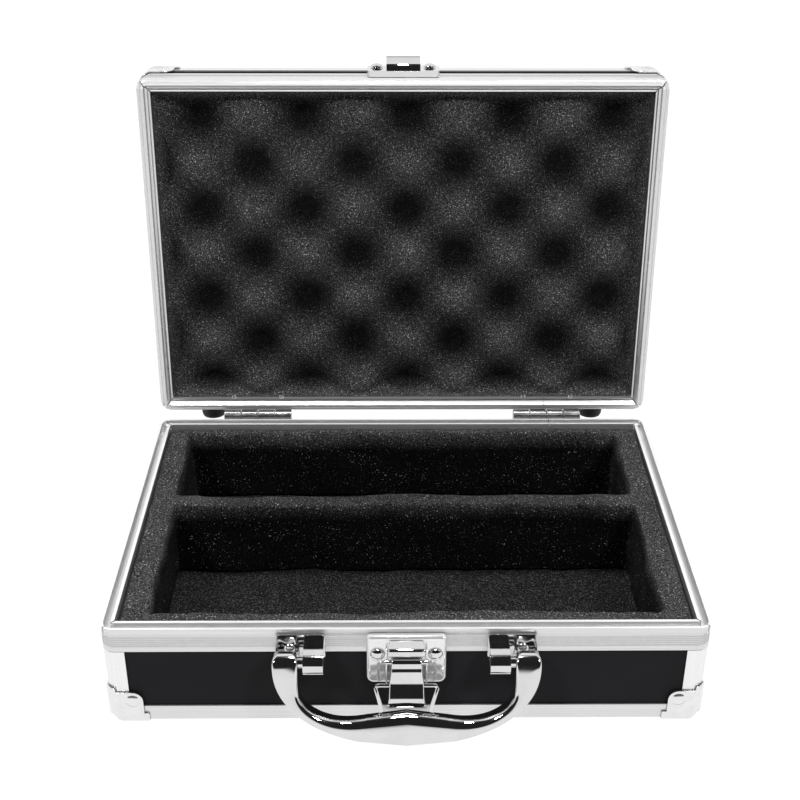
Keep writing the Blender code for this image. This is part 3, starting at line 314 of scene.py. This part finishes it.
foamLooks = {
    # cell is the width of one cell in mm, and the hollow light is the painted light that is left at the
    # bottom of a hollow, under painted shade
    "cut": {
        "cell": 0.6, "body": 0.036, "paintedGlint": 0.36, "sparse": 0.63, "bump": 0.8,
        "deep": 0.08, "paintedSpark": 0.5,
    },
    "crate": {
        "cell": 0.5, "body": 0.036, "paintedGlint": 0.34, "sparse": 0.61, "bump": 0.7,
        "deep": 0.10, "paintedSpark": 0,
    },
    "floor": {
        "cell": 0.62, "body": 0.0095, "paintedGlint": 0.16, "sparse": 0.60, "bump": 1.0,
        "stretch": (1, 2.2, 1), "turn": (0, 0, 0.6),
    },
}
foamCells = {
    "grain": 0.8, "grainShare": 0.6,  # of the relief; the cells' walls make up the rest
    "relief": (0.36, 0.60), "bodyRange": (0.06, 1.9),
    "patches": 60, "patchRange": (0.8, 1.2),
    # the runs of the painted glints and painted sparks, and the range of the painted light that each point
    # carries
    "paintedGlintRun": 0.08,
    "paintedSparkRun": (0.05, 0.11), "paintedSparkPatches": (0.4, 0.65), "paintedSparkRange": (0.2, 1.6),
    "paintedLight": (0.1, 0.95),
    "depth": 0.4, "roughness": 0.95, "gloss": 0.05,
}


def foamFinish(name, look):
    material, tree, shader, place = startFinish(name, look)

    def times(first, second):
        return reckon(tree, "MULTIPLY", first, second)

    cells = tree.nodes.new("ShaderNodeTexVoronoi")
    cells.feature = "F1"
    cells.inputs["Scale"].default_value = 1 / (look["cell"] * mm)
    tree.links.new(place, cells.inputs["Vector"])
    grain = addNoise(tree, place, foamCells["grain"] / (look["cell"] * mm), rough=0.6)
    patches = addNoise(tree, place, foamCells["patches"], detail=3, rough=0.6)
    walls = times(cells.outputs["Distance"], 1 - foamCells["grainShare"])
    height = reckon(tree, "ADD", walls, times(grain, foamCells["grainShare"]))
    low, high = (look["body"] * share for share in foamCells["bodyRange"])
    body = spread(tree, height, *foamCells["relief"], low, high)
    body = times(body, spread(tree, patches, *noiseBand, *foamCells["patchRange"]))
    # painted glints: cell walls are painted bright where the grain stands out
    sparse = look["sparse"]
    paintedGlint = spread(tree, grain, sparse, sparse + foamCells["paintedGlintRun"], 0, look["paintedGlint"])
    if "deep" in look:
        # painted shade: the foam's colour is darkened where the piece's painted light is low, in the
        # hollows and on the walls
        paintedLight = tree.nodes.new("ShaderNodeAttribute")
        paintedLight.attribute_name = "paintedLight"
        light = spread(tree, paintedLight.outputs["Fac"], *foamCells["paintedLight"], look["deep"], 1)
        # painted sparks: a few cut cells are painted bright down in the painted shade of the hollows
        paintedSparkFrom, paintedSparkTo = (sparse + more for more in foamCells["paintedSparkRun"])
        paintedSpark = spread(tree, grain, paintedSparkFrom, paintedSparkTo, 0, look["paintedSpark"])
        paintedSpark = times(paintedSpark, spread(tree, patches, *foamCells["paintedSparkPatches"], *foamCells["paintedSparkRange"]))
        paintedShade = reckon(tree, "SUBTRACT", 1, light)
        paintedGlint = reckon(tree, "ADD", times(paintedGlint, light), times(paintedSpark, paintedShade))
        body = times(body, light)
    tree.links.new(reckon(tree, "ADD", body, paintedGlint), shader.inputs["Base Color"])
    shader.inputs["Roughness"].default_value = foamCells["roughness"]
    shader.inputs["Specular IOR Level"].default_value = foamCells["gloss"]
    addBump(tree, shader, height, look["bump"], foamCells["depth"])
    return material


metals = {name: metalFinish(name, look) for name, look in metalLooks.items()}
chrome = metals["brightChrome"]
blackPanel = laminateFinish()
blackRubber = rubberFinish()
cutFoam = foamFinish("cutFoam", foamLooks["cut"])
crateFoam = foamFinish("crateFoam", foamLooks["crate"])
floorFoam = foamFinish("floorFoam", foamLooks["floor"])
print("finishes ready")


def held(value, low=0, high=1):
    return min(max(value, low), high)


def addPiece(name, form, material, body, stands=()):
    mesh = bpy.data.meshes.new(name)
    form.to_mesh(mesh)
    form.free()
    mesh.materials.append(material)
    piece = bpy.data.objects.new(name, mesh)
    bpy.context.scene.collection.objects.link(piece)
    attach(piece, body)
    if stands:
        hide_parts(*stands)
    return piece


sharpAngles = {  # degrees from which an edge stays sharp
    "frame": 28, "rivets": 30, "small": 35, "latch": 40,
    "post": 50, "corner": 50, "handle": 50, "crate": 60,
}


def smooth(piece, kind):
    piece.data.shade_smooth()
    piece.data.set_sharp_from_angle(angle=math.radians(sharpAngles[kind]))


merging = {"weld": 0.001, "flat": 0.4}  # mm and degrees


def mergedCopy(node):
    form = bmesh.new()
    form.from_mesh(nodes[node].data)
    bmesh.ops.remove_doubles(form, verts=form.verts, dist=merging["weld"] * mm)
    return form


def joinFlats(form):
    flat = math.radians(merging["flat"])
    bmesh.ops.dissolve_limit(
        form, angle_limit=flat, verts=form.verts, edges=form.edges, delimit={"MATERIAL"})


lidHinge = next(joint for joint in frame["joints"] if joint["name"] == "lid_hinge")


def openedLid():
    # takes what is drawn with the lid closed to where the open lid has it
    axis = Vector(lidHinge["pos_m"])
    turn = Matrix.Rotation(-math.radians(lidHinge["range_deg"][1]), 4, "X")
    return Matrix.Translation(axis) @ turn @ Matrix.Translation(-axis)


rimBands = {
    "lip": 0.05, "grooveTop": 3.6, "grooveLow": 9.9,  # mm below the highest face of the rim
    "topRun": 200,  # the open lid's upper run stands above this height, in mm
    "flat": 0.95, "sloping": 0.3, "across": 0.7,
}


def sortRimFaces(form, node):
    # runs across take the first material, the others the second, the lips the third, a painted highlight,
    # and the groove slopes that face the rim's plane the fourth, a painted shade
    onLid = node.startswith("lid")
    towards = openedLid().to_3x3() @ Vector((0, 0, -1)) if onLid else Vector((0, 0, 1))
    level = max(vertex.co.dot(towards) for vertex in form.verts)
    for face in form.faces:
        longest = max(face.edges, key=lambda edge: edge.calc_length())
        run = longest.verts[0].co - longest.verts[1].co
        face.material_index = 0 if abs(run.x) > rimBands["across"] * run.length else 1
        if "rim" not in node:
            continue
        tilt = face.normal.dot(towards)
        at = face.calc_center_median()
        depth = (level - at.dot(towards)) / mm
        # the lips get the painted highlight: on the open lid only its upper run, on the base the highest
        # faces
        lit = at.z > rimBands["topRun"] * mm if onLid else depth < rimBands["lip"]
        grooved = rimBands["grooveTop"] < depth < rimBands["grooveLow"]
        if tilt > rimBands["flat"] and lit:
            face.material_index = 2
        # the groove slopes that face the rim's plane get the painted shade
        elif rimBands["sloping"] < tilt < rimBands["flat"] and grooved:
            face.material_index = 3


softEdges = {
    "corner": 0.2, "hinge": 0.3, "bracket": 0.45, "small": 0.2,  # mm
    "segments": 2, "sharpFrom": 40,
}


def refine(node, finish, material, softEdge=0.0, kind="small", sideMaterial=None):
    # a merged copy of a CAD node with smooth curves and, where it is set, soft edges
    form = mergedCopy(node)
    if sideMaterial:
        sortRimFaces(form, node)
    joinFlats(form)
    piece = addPiece(finish + "_" + node, form, material, nodes[node]["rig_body"], [node])
    if sideMaterial:
        for extra in (sideMaterial, metals["paintedLipHighlight"], metals["paintedGrooveShade"]):
            piece.data.materials.append(extra)
    smooth(piece, kind)
    if softEdge:
        soft = piece.modifiers.new("softEdges", "BEVEL")
        soft.width = softEdge * mm
        soft.segments = softEdges["segments"]
        soft.limit_method = "ANGLE"
        soft.angle_limit = math.radians(softEdges["sharpFrom"])
        soft.harden_normals = False


drawnAnew = ("handle", "latch_plate", "latch_lever")


def dressNode(node):
    if "panel" in node:
        mesh = nodes[node].data
        mesh.materials.clear()
        mesh.materials.append(blackPanel)
    elif "corner_post" in node:
        refine(node, "satin", metals["satinPost"], kind="post")
    elif node.endswith("_frame"):
        side = metals["satinUpright" if node.startswith("lid") else "satinDeep"]
        refine(node, "satin", metals["satinAcross"], kind="frame", sideMaterial=side)
    elif "ball_corner" in node:
        refine(node, "plated", metals["platedSteel"], softEdges["corner"], "corner")
    elif "hinge" in node:
        refine(node, "plated", metals["hingeSteel"], softEdges["hinge"])
    elif "foam" not in node and "foot" not in node and node not in drawnAnew:
        large = "bracket" in node or node == "keeper"
        refine(node, "chrome", chrome, softEdges["bracket" if large else "small"])


for node in nodes:
    dressNode(node)
print("frames, corners and fittings dressed")

footGrowth = 6.2  # mm by which the photo shows the rubber feet longer than the solids


def makeFoot(node):
    form = mergedCopy(node)
    if node.startswith("lid"):
        bmesh.ops.transform(form, matrix=openedLid().inverted(), verts=form.verts)
    reach = [vertex.co.y for vertex in form.verts]
    root, tip = min(reach), max(reach)
    for vertex in form.verts:
        vertex.co.y += footGrowth * mm * (vertex.co.y - root) / (tip - root)
    if node.startswith("lid"):
        bmesh.ops.transform(form, matrix=openedLid(), verts=form.verts)
    joinFlats(form)
    body = nodes[node]["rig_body"]
    smooth(addPiece("rubber_" + node, form, blackRubber, body, [node]), "small")


for node in nodes:
    if "foot" in node:
        makeFoot(node)

crate = {
    "pitchX": 51.8, "pitchY": 48.3, "column": 2.0, "row": 4.5,
    "peak": 3.0, "valley": 14.5,
    "cell": 1.3,
    "roughness": 0.25, "roughWaves": 0.35,
    "sag": 0.5, "sagWaves": 0.04, "sagLayer": 40,
    "edgeDepth": 2.2, "edgeRun": 1.6,  # near the rim the foam is held up
}


def crateDepth(x, y):
    wave = math.cos(2 * math.pi * (x - crate["column"]) / crate["pitchX"])
    wave *= math.cos(2 * math.pi * (y - crate["row"]) / crate["pitchY"])
    return (crate["peak"] + crate["valley"]) / 2 - (crate["valley"] - crate["peak"]) / 2 * wave


def makeCrateFoam():
    closed = openedLid().inverted()
    corners = [closed @ Vector(vertex.co) for vertex in nodes["lid_foam"].data.vertices]
    low, high = Vector(map(min, *corners)), Vector(map(max, *corners))
    across, along = high.x - low.x, high.y - low.y
    columns, rows = (round(length / mm / crate["cell"]) for length in (across, along))
    form = bmesh.new()
    bmesh.ops.create_grid(form, x_segments=columns, y_segments=rows, size=1)
    bmesh.ops.scale(form, verts=form.verts, vec=(across / 2, along / 2, 1))
    rimPlane = low.z - crate["peak"] * mm
    for vertex in form.verts:
        x, y = vertex.co.x / mm, vertex.co.y / mm
        rough = crate["roughness"] * noise.noise(Vector((x, y, 0)) * crate["roughWaves"])
        sag = crate["sag"] * noise.noise(Vector((x, y, crate["sagLayer"])) * crate["sagWaves"])
        fromEdge = min(across / 2 - abs(vertex.co.x), along / 2 - abs(vertex.co.y)) / mm
        depth = min(crateDepth(x, y) + rough + sag, crate["edgeDepth"] + crate["edgeRun"] * fromEdge)
        vertex.co.z = rimPlane + depth * mm
    border = [edge for edge in form.edges if edge.is_boundary]
    raised = bmesh.ops.extrude_edge_only(form, edges=border)["geom"]
    for vertex in (part for part in raised if isinstance(part, bmesh.types.BMVert)):
        vertex.co.z = high.z
    bmesh.ops.edgeloop_fill(form, edges=[edge for edge in form.edges if edge.is_boundary])
    bmesh.ops.translate(form, verts=form.verts, vec=middle)
    bmesh.ops.transform(form, matrix=openedLid(), verts=form.verts)
    bmesh.ops.recalc_face_normals(form, faces=form.faces)
    piece = addPiece("eggCrateFoam", form, crateFoam, "lid", ["lid_foam"])
    # painted shade: each point carries painted light, full on the peaks and least in the valleys, which
    # darkens the foam's colour
    paintedLight = piece.data.attributes.new("paintedLight", "FLOAT", "POINT")
    for vertex in piece.data.vertices:
        depth = abs((closed @ vertex.co).z - rimPlane) / mm
        paintedLight.data[vertex.index].value = 1 - (depth - crate["peak"]) / (crate["valley"] - crate["peak"])
    smooth(piece, "crate")


makeCrateFoam()

foamInsert = {
    "rounds": 2,
    "wander": 1.9, "wanderWaves": 0.035,  # how far the hand-cut walls stray, in mm
    "ripple": 1.1, "rippleWaves": 0.085,  # and how far their edges waver
    "lumps": 0.25, "lumpWaves": 0.3,
    "stillEdge": 0.5, "stillRun": 2.5,    # the outer faces stay flat
    "topBand": 3, "topWander": 0.25, "topDrop": 0.3,
    "riseFront": 1.2, "riseRear": 2.9,    # the block bulges up towards the hinges
    "rearLean": 3.4, "rearRun": 9, "rearFoot": 2,
    "mouth": 48, "bottom": 36,            # heights between which the painted light fades to painted shade on the walls
    "paintedSideLight": 0.30, "sideFrom": 0.5, "sideRun": 0.4,  # the painted light that the left and right walls still get
    "paintedDividerLight": 0.62,                 # the painted light that the wall between the compartments gets on top, under a painted shade of the lid
    "dividerHalf": 104, "dividerReach": 60, "dividerFade": 12,
}

blocks = {"voxel": 1.5, "soften": 0.5}


def remeshed(node, rounds):
    # a CAD block in small even faces, with its edges softened
    mesh = bpy.data.meshes.new("block")
    form = mergedCopy(node)
    form.to_mesh(mesh)
    form.free()
    block = bpy.data.objects.new("block", mesh)
    bpy.context.scene.collection.objects.link(block)
    remesh = block.modifiers.new("voxels", "REMESH")
    remesh.mode = "VOXEL"
    remesh.voxel_size = blocks["voxel"] * mm
    soften = block.modifiers.new("soften", "SMOOTH")
    soften.factor = blocks["soften"]
    soften.iterations = rounds
    result = bmesh.new()
    result.from_object(block, bpy.context.evaluated_depsgraph_get())
    bpy.data.objects.remove(block)
    return result


def shapeInsert(form, low, high):
    cut = foamInsert
    for vertex in form.verts:
        place = vertex.co.copy()
        at = place / mm
        inside = min(place.x - low.x, high.x - place.x, place.y - low.y, high.y - place.y)
        share = held((inside / mm - cut["stillEdge"]) / cut["stillRun"])
        drift = noise.noise_vector(at * cut["wanderWaves"]) * cut["wander"]
        drift += noise.noise_vector(at * cut["rippleWaves"]) * cut["ripple"]
        lumps = noise.noise_vector(at * cut["lumpWaves"]) * cut["lumps"]
        vertex.co += Vector((drift.x + lumps.x, drift.y + lumps.y, 0)) * share * mm
        toBack = (place.y - low.y) / (high.y - low.y)
        rise = cut["riseFront"] + (cut["riseRear"] - cut["riseFront"]) * toBack
        vertex.co.z += rise * held((place.z - low.z) / (high.z - low.z)) * mm
        if place.z > high.z - cut["topBand"] * mm:
            vertex.co.z += (cut["topWander"] * drift.z + lumps.z - cut["topDrop"]) * mm
        fromRear = (high.y - place.y) / mm
        lean = held(1 - (fromRear - cut["rearFoot"]) / cut["rearRun"]) * min(fromRear / cut["rearFoot"], 1)
        vertex.co.y -= cut["rearLean"] * lean * mm
    top = high + Vector((0, 0, cut["riseRear"] * mm))
    for vertex in form.verts:
        vertex.co = Vector([held(value, least, most) for value, least, most in zip(vertex.co, low, top)])


def insertPaintedLight(vertex):
    # painted light and shade: full painted light on top, little on the walls and less on the divider, as a
    # painted shade of the lid
    cut = foamInsert
    share = held((vertex.co.z / mm - cut["bottom"]) / (cut["mouth"] - cut["bottom"]))
    if abs(vertex.co.y - middle.y) < cut["dividerReach"] * mm:
        within = held((cut["dividerHalf"] - abs(vertex.co.x) / mm) / cut["dividerFade"])
        share *= 1 - (1 - cut["paintedDividerLight"]) * within
    sideways = held((abs(vertex.normal.x) - cut["sideFrom"]) / cut["sideRun"])
    return max(share * share * (3 - 2 * share), cut["paintedSideLight"] * sideways)


def makeInsertFoam():
    low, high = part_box("base_foam_insert")
    form = remeshed("base_foam_insert", foamInsert["rounds"])
    shapeInsert(form, low, high)
    piece = addPiece("foamInsert", form, cutFoam, "base", ["base_foam_insert"])
    piece.data.shade_smooth()
    # the painted light and shade of each point, which the foam's colour reads
    paintedLight = piece.data.attributes.new("paintedLight", "FLOAT", "POINT")
    for vertex in piece.data.vertices:
        paintedLight.data[vertex.index].value = insertPaintedLight(vertex)


foamFloor = {
    "rounds": 1, "topBand": 1,
    "dips": 0.35, "dipWaves": 0.12, "lumps": 0.2, "lumpWaves": 0.4, "drop": 0.3,
}


def makeFloorFoam():
    low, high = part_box("base_foam_floor")
    form = remeshed("base_foam_floor", foamFloor["rounds"])
    for vertex in form.verts:
        if vertex.co.z > high.z - foamFloor["topBand"] * mm:
            at = vertex.co / mm
            dip = foamFloor["dips"] * noise.noise(at * foamFloor["dipWaves"])
            lump = foamFloor["lumps"] * noise.noise(at * foamFloor["lumpWaves"])
            vertex.co.z += (dip + lump - foamFloor["drop"]) * mm
        vertex.co.z = max(vertex.co.z, low.z)
    piece = addPiece("foamFloor", form, floorFoam, "base", ["base_foam_floor"])
    piece.data.shade_smooth()


makeInsertFoam()
makeFloorFoam()
print("foam made")

handleShape = {
    "pinOff": 8.1, "pinHeight": 39.5, "tilt": 20,
    "armInner": 45.6, "armOuter": 56.6, "armRadius": 4.8,
    "capRound": 3.0, "capShares": (0.985, 0.93, 0.82, 0.66, 0.46, 0.22),
    "reach": 35.5, "innerReach": 22.85, "wave": 1.65, "waveLength": 56,
    "armEdge": 0.9, "gripEdge": 4.5, "outerEdge": 1.2,
    "outerPower": 2.15, "innerPower": 5,
    "sections": 40, "crowding": 0.35, "roundSteps": 8, "weld": 0.002,
}


def gripInner(x):
    shape = handleShape
    return shape["innerReach"] - shape["wave"] * math.cos(2 * math.pi * x / shape["waveLength"])


def bowed(share, power):
    return max(1 - share ** power, 0) ** (1 / power)


def handleSection(inner, outer, halfThickness, innerRadius):
    # round on the fingers' side, flat with soft edges on the outer side
    start, end = Vector(inner), Vector(outer)
    width, direction = (end - start).length, (end - start).normalized()
    outerEdge = min(handleShape["outerEdge"], halfThickness / 2)
    radius = min(innerRadius, width - 2 * outerEdge, halfThickness - outerEdge / 4)
    steps = handleShape["roundSteps"]
    ring = []

    def turnCorner(across, out, size, first):
        for step in range(steps + 1):
            angle = math.radians(first + 90 * step / steps)
            ring.append((across + size * math.cos(angle), out + size * math.sin(angle)))

    turnCorner(radius, halfThickness - radius, radius, 90)
    turnCorner(radius, radius - halfThickness, radius, 180)
    turnCorner(width - outerEdge, outerEdge - halfThickness, outerEdge, 270)
    turnCorner(width - outerEdge, halfThickness - outerEdge, outerEdge, 0)
    points = []
    for across, out in ring:
        at = start + direction * across
        place = (at.x, caseFront - handleShape["pinOff"] - out, handleShape["pinHeight"] - at.y)
        points.append(Vector(place) * mm)
    return points


def handleSections():
    shape = handleShape
    half = []
    for share in shape["capShares"]:
        level = math.sqrt(1 - share ** 2)
        thick, rise = shape["armRadius"] * level, -shape["armRadius"] * share
        inset = shape["capRound"] * (1 - level)
        inner, outer = (shape["armInner"] + inset, rise), (shape["armOuter"] - inset, rise)
        half.append(handleSection(inner, outer, thick, min(shape["armEdge"], thick / 2)))
    for step in range(shape["sections"]):
        share = math.cos(math.pi / 2 * step / shape["sections"])
        share = 1 - (1 - share) * (1 - shape["crowding"] * (1 - share))
        innerX = shape["armInner"] * share
        inner = (innerX, gripInner(innerX) * bowed(share, shape["innerPower"]))
        outer = (shape["armOuter"] * share, shape["reach"] * bowed(share, shape["outerPower"]))
        blend = min(inner[1] / shape["innerReach"], 1)
        edge = shape["armEdge"] + (shape["gripEdge"] - shape["armEdge"]) * blend
        half.append(handleSection(inner, outer, shape["armRadius"], edge))
    centre = handleSection((0, gripInner(0)), (0, shape["reach"]), shape["armRadius"], shape["gripEdge"])
    flip = Matrix.Diagonal((-1, 1, 1))
    return half + [centre] + [[flip @ point for point in section] for section in reversed(half)]


def nextRow(form, row, edges, points):
    # extrudes a row of edges and moves its far side to the points
    made = bmesh.ops.extrude_edge_only(form, edges=edges)["geom"]
    farEdges = [part for part in made if isinstance(part, bmesh.types.BMEdge)]
    fresh = {part for part in made if isinstance(part, bmesh.types.BMVert)}
    farRow = []
    for vertex in row:
        ends = (edge.other_vert(vertex) for edge in vertex.link_edges)
        farRow.append(next(end for end in ends if end in fresh))
    for vertex, point in zip(farRow, points):
        vertex.co = point
    return farRow, farEdges


def makeHandle():
    sections = handleSections()
    form = bmesh.new()
    bmesh.ops.create_circle(form, segments=len(sections[0]), radius=mm)
    ring = sorted(form.verts, key=lambda vertex: vertex.index)
    edges = list(form.edges)
    for vertex, point in zip(ring, sections[0]):
        vertex.co = point
    bmesh.ops.edgeloop_fill(form, edges=edges)
    for section in sections[1:]:
        ring, edges = nextRow(form, ring, edges, section)
    bmesh.ops.edgeloop_fill(form, edges=edges)
    bmesh.ops.remove_doubles(form, verts=form.verts, dist=handleShape["weld"] * mm)
    axis = Vector((0, caseFront - handleShape["pinOff"], handleShape["pinHeight"])) * mm
    turn = Matrix.Rotation(-math.radians(handleShape["tilt"]), 4, "X")
    hang = Matrix.Translation(axis + middle) @ turn @ Matrix.Translation(-axis)
    bmesh.ops.transform(form, matrix=hang, verts=form.verts)
    bmesh.ops.recalc_face_normals(form, faces=form.faces)
    smooth(addPiece("carryingHandle", form, chrome, "handle", ["handle"]), "handle")


makeHandle()
print("handle made")

latch = {
    "halfWidth": 17, "low": 23.6, "top": 48.7, "back": 0.3, "off": 3.1,
    "lowRadius": 3.2, "topRadius": 1.8, "edge": 1.5,
    "cheekAt": 8.5, "cheekWidth": 0.7, "cheekOff": 6.4, "cheekSink": 1, "cheekLow": 25.0, "cheekTop": 43.6,
    "cheekEdge": 0.25, "edgeSteps": 6, "cheekSteps": 2, "hoodSteps": 4, "leverSteps": 2,
    # the hood from the side, as distance off the face and height
    "hood": [(2.4, 47.3), (8.0, 46.3), (8.9, 45.7), (8.95, 42.9), (8.2, 42.6), (2.4, 42.6)],
    "hoodHalf": 8.0, "hoodBackHalf": 7.2, "hoodEdge": 0.55,
    # the lever from the side, rolled over the pin and down to its lip, with half width and flange depth
    "lever": [
        (4.9, 40.1, 6.4, 1.0), (5.8, 40.9, 6.4, 1.4), (7.0, 41.2, 6.4, 1.6), (8.2, 40.9, 6.4, 1.6),
        (9.1, 40.2, 6.4, 1.8), (9.55, 39.3, 6.4, 2.0), (9.65, 38.4, 6.45, 2.2), (9.8, 37.7, 6.5, 2.4),
        (10.15, 36.9, 6.6, 2.6), (10.6, 35.9, 6.7, 2.8), (10.85, 35.1, 6.8, 2.9), (10.9, 34.2, 6.9, 3.0),
        (10.9, 32.6, 7.1, 3.0), (10.92, 31.7, 7.25, 3.0), (11.1, 31.0, 7.35, 3.0), (11.45, 30.1, 7.45, 3.0),
        (12.7, 27.3, 7.5, 3.0), (14.0, 24.4, 7.6, 3.0), (14.25, 23.7, 7.7, 2.6), (14.3, 23.0, 7.8, 2.0),
        (14.35, 22.2, 7.85, 1.4), (14.4, 20.6, 7.9, 0.9), (14.3, 19.9, 7.9, 0.6), (13.95, 19.65, 7.85, 0.5),
        (13.55, 19.9, 7.75, 0.4),
    ],
    "leverSheet": 0.5,
    # across the lever, as distance in from its edge and share of the flange's depth
    "leverFolds": [(0, 1), (0, 0.35), (0.12, 0.12), (0.4, 0.02), (0.9, 0), (2.6, 0)],
}


def settle(form):
    # from mm about the middle of the base to the frame's metres
    bmesh.ops.scale(form, verts=form.verts, vec=(mm, mm, mm))
    bmesh.ops.translate(form, verts=form.verts, vec=middle)
    bmesh.ops.recalc_face_normals(form, faces=form.faces)


def rounded(form, parts, width, segments, affect="EDGES"):
    bmesh.ops.bevel(
        form, geom=parts, offset=width, offset_type="OFFSET", affect=affect,
        segments=segments, profile=0.5, material=-1)


def pulled(form, face, shift):
    # extrudes one face into a solid and gives back the far face
    made = bmesh.ops.extrude_face_region(form, geom=[face])["geom"]
    verts = [part for part in made if isinstance(part, bmesh.types.BMVert)]
    bmesh.ops.translate(form, verts=verts, vec=shift)
    return next(part for part in made if isinstance(part, bmesh.types.BMFace))


def makeLatchPlate():
    half, low, top = latch["halfWidth"], latch["low"], latch["top"]
    form = bmesh.new()
    outline = ((-half, low), (half, low), (half, top), (-half, top))
    corners = [form.verts.new((x, caseFront - latch["back"], z)) for x, z in outline]
    form.faces.new(corners)
    rounded(form, corners[:2], latch["lowRadius"], latch["edgeSteps"], "VERTICES")
    rounded(form, corners[2:], latch["topRadius"], latch["edgeSteps"], "VERTICES")
    front = pulled(form, form.faces[:][0], (0, latch["back"] - latch["off"], 0))
    rounded(form, list(front.edges), latch["edge"], latch["edgeSteps"])
    depth = latch["cheekOff"] - latch["off"] + latch["cheekSink"]
    size = (latch["cheekWidth"], depth, latch["cheekTop"] - latch["cheekLow"])
    for side in (-1, 1):
        at = (
            side * latch["cheekAt"],
            caseFront - latch["cheekOff"] + depth / 2,
            (latch["cheekTop"] + latch["cheekLow"]) / 2,
        )
        place = Matrix.Translation(at) @ Matrix.Diagonal((*size, 1))
        cheek = bmesh.ops.create_cube(form, size=1, matrix=place)["verts"]
        edges = {edge for vertex in cheek for edge in vertex.link_edges}
        rounded(form, list(edges), latch["cheekEdge"], latch["cheekSteps"])
    settle(form)
    steel = metals["latchSteel"]
    smooth(addPiece("latchPlate", form, steel, "base", ["latch_plate"]), "latch")


def makeLatchHood():
    half = latch["hoodHalf"]
    form = bmesh.new()
    outline = [form.verts.new((-half, caseFront - off, z)) for off, z in latch["hood"]]
    pulled(form, form.faces.new(outline), (2 * half, 0, 0))
    for vertex in form.verts:
        if vertex.co.y > caseFront - latch["off"]:
            vertex.co.x *= latch["hoodBackHalf"] / half
    rounded(form, list(form.edges), latch["hoodEdge"], latch["hoodSteps"])
    settle(form)
    smooth(addPiece("latchHood", form, chrome, "base"), "latch")


def leverRow(index):
    # the points across the lever at one place of its side view
    rows = latch["lever"]
    off, z, half, depth = rows[index]
    before, after = rows[max(index - 1, 0)], rows[min(index + 1, len(rows) - 1)]
    along = Vector((after[0] - before[0], after[1] - before[1])).normalized()
    inward = Vector((along.y, -along.x))
    folds = [(-half + inset, share) for inset, share in latch["leverFolds"]]
    folds += [(-x, share) for x, share in reversed(folds)]
    return [
        (x, caseFront - off - inward.x * depth * share, z + inward.y * depth * share)
        for x, share in folds
    ]


def makeLatchLever():
    form = bmesh.new()
    row = [form.verts.new(point) for point in leverRow(0)]
    edges = [form.edges.new(pair) for pair in zip(row, row[1:])]
    for index in range(1, len(latch["lever"])):
        row, edges = nextRow(form, row, edges, leverRow(index))
    settle(form)
    if sum(face.normal.y * face.calc_area() for face in form.faces) > 0:
        bmesh.ops.reverse_faces(form, faces=form.faces)
    piece = addPiece("latchLever", form, chrome, "latch_lever", ["latch_lever"])
    sheet = piece.modifiers.new("sheet", "SOLIDIFY")
    sheet.thickness = latch["leverSheet"] * mm
    sheet.offset = -1
    rounding = piece.modifiers.new("rounded", "SUBSURF")
    rounding.levels = rounding.render_levels = latch["leverSteps"]
    piece.data.shade_smooth()


makeLatchPlate()
makeLatchHood()
makeLatchLever()

rivetTails = {
    "places": (-90.8, -65.2, 65.2, 90.8), "wall": 82.0, "up": 53.3,
    "radius": 1.6, "height": 1.0, "segments": 14, "taper": 0.8, "dishEdge": 0.3, "dish": 0.5,
}


def makeRivetTails():
    # clenched ends of the hinge rivets, on the inner wall of the lid's rim
    radius, height = rivetTails["radius"], rivetTails["height"]
    form = bmesh.new()
    for x in rivetTails["places"]:
        at = Vector((x, rivetTails["wall"] - height / 2, rivetTails["up"]))
        place = Matrix.Translation(at) @ Matrix.Rotation(math.pi / 2, 4, "X")
        made = bmesh.ops.create_cone(
            form, cap_ends=True, segments=rivetTails["segments"], radius1=radius,
            radius2=radius * rivetTails["taper"], depth=height, matrix=place)["verts"]
        faces = {face for vertex in made for face in vertex.link_faces}
        tip = min(faces, key=lambda face: face.calc_center_median().y)
        bmesh.ops.inset_region(form, faces=[tip], thickness=radius * rivetTails["dishEdge"])
        bmesh.ops.translate(form, verts=tip.verts, vec=(0, rivetTails["dish"], 0))
    settle(form)
    bmesh.ops.transform(form, matrix=openedLid(), verts=form.verts)
    smooth(addPiece("hingeRivetTails", form, metals["platedSteel"], "lid"), "rivets")


makeRivetTails()
print("latch and rivets made")
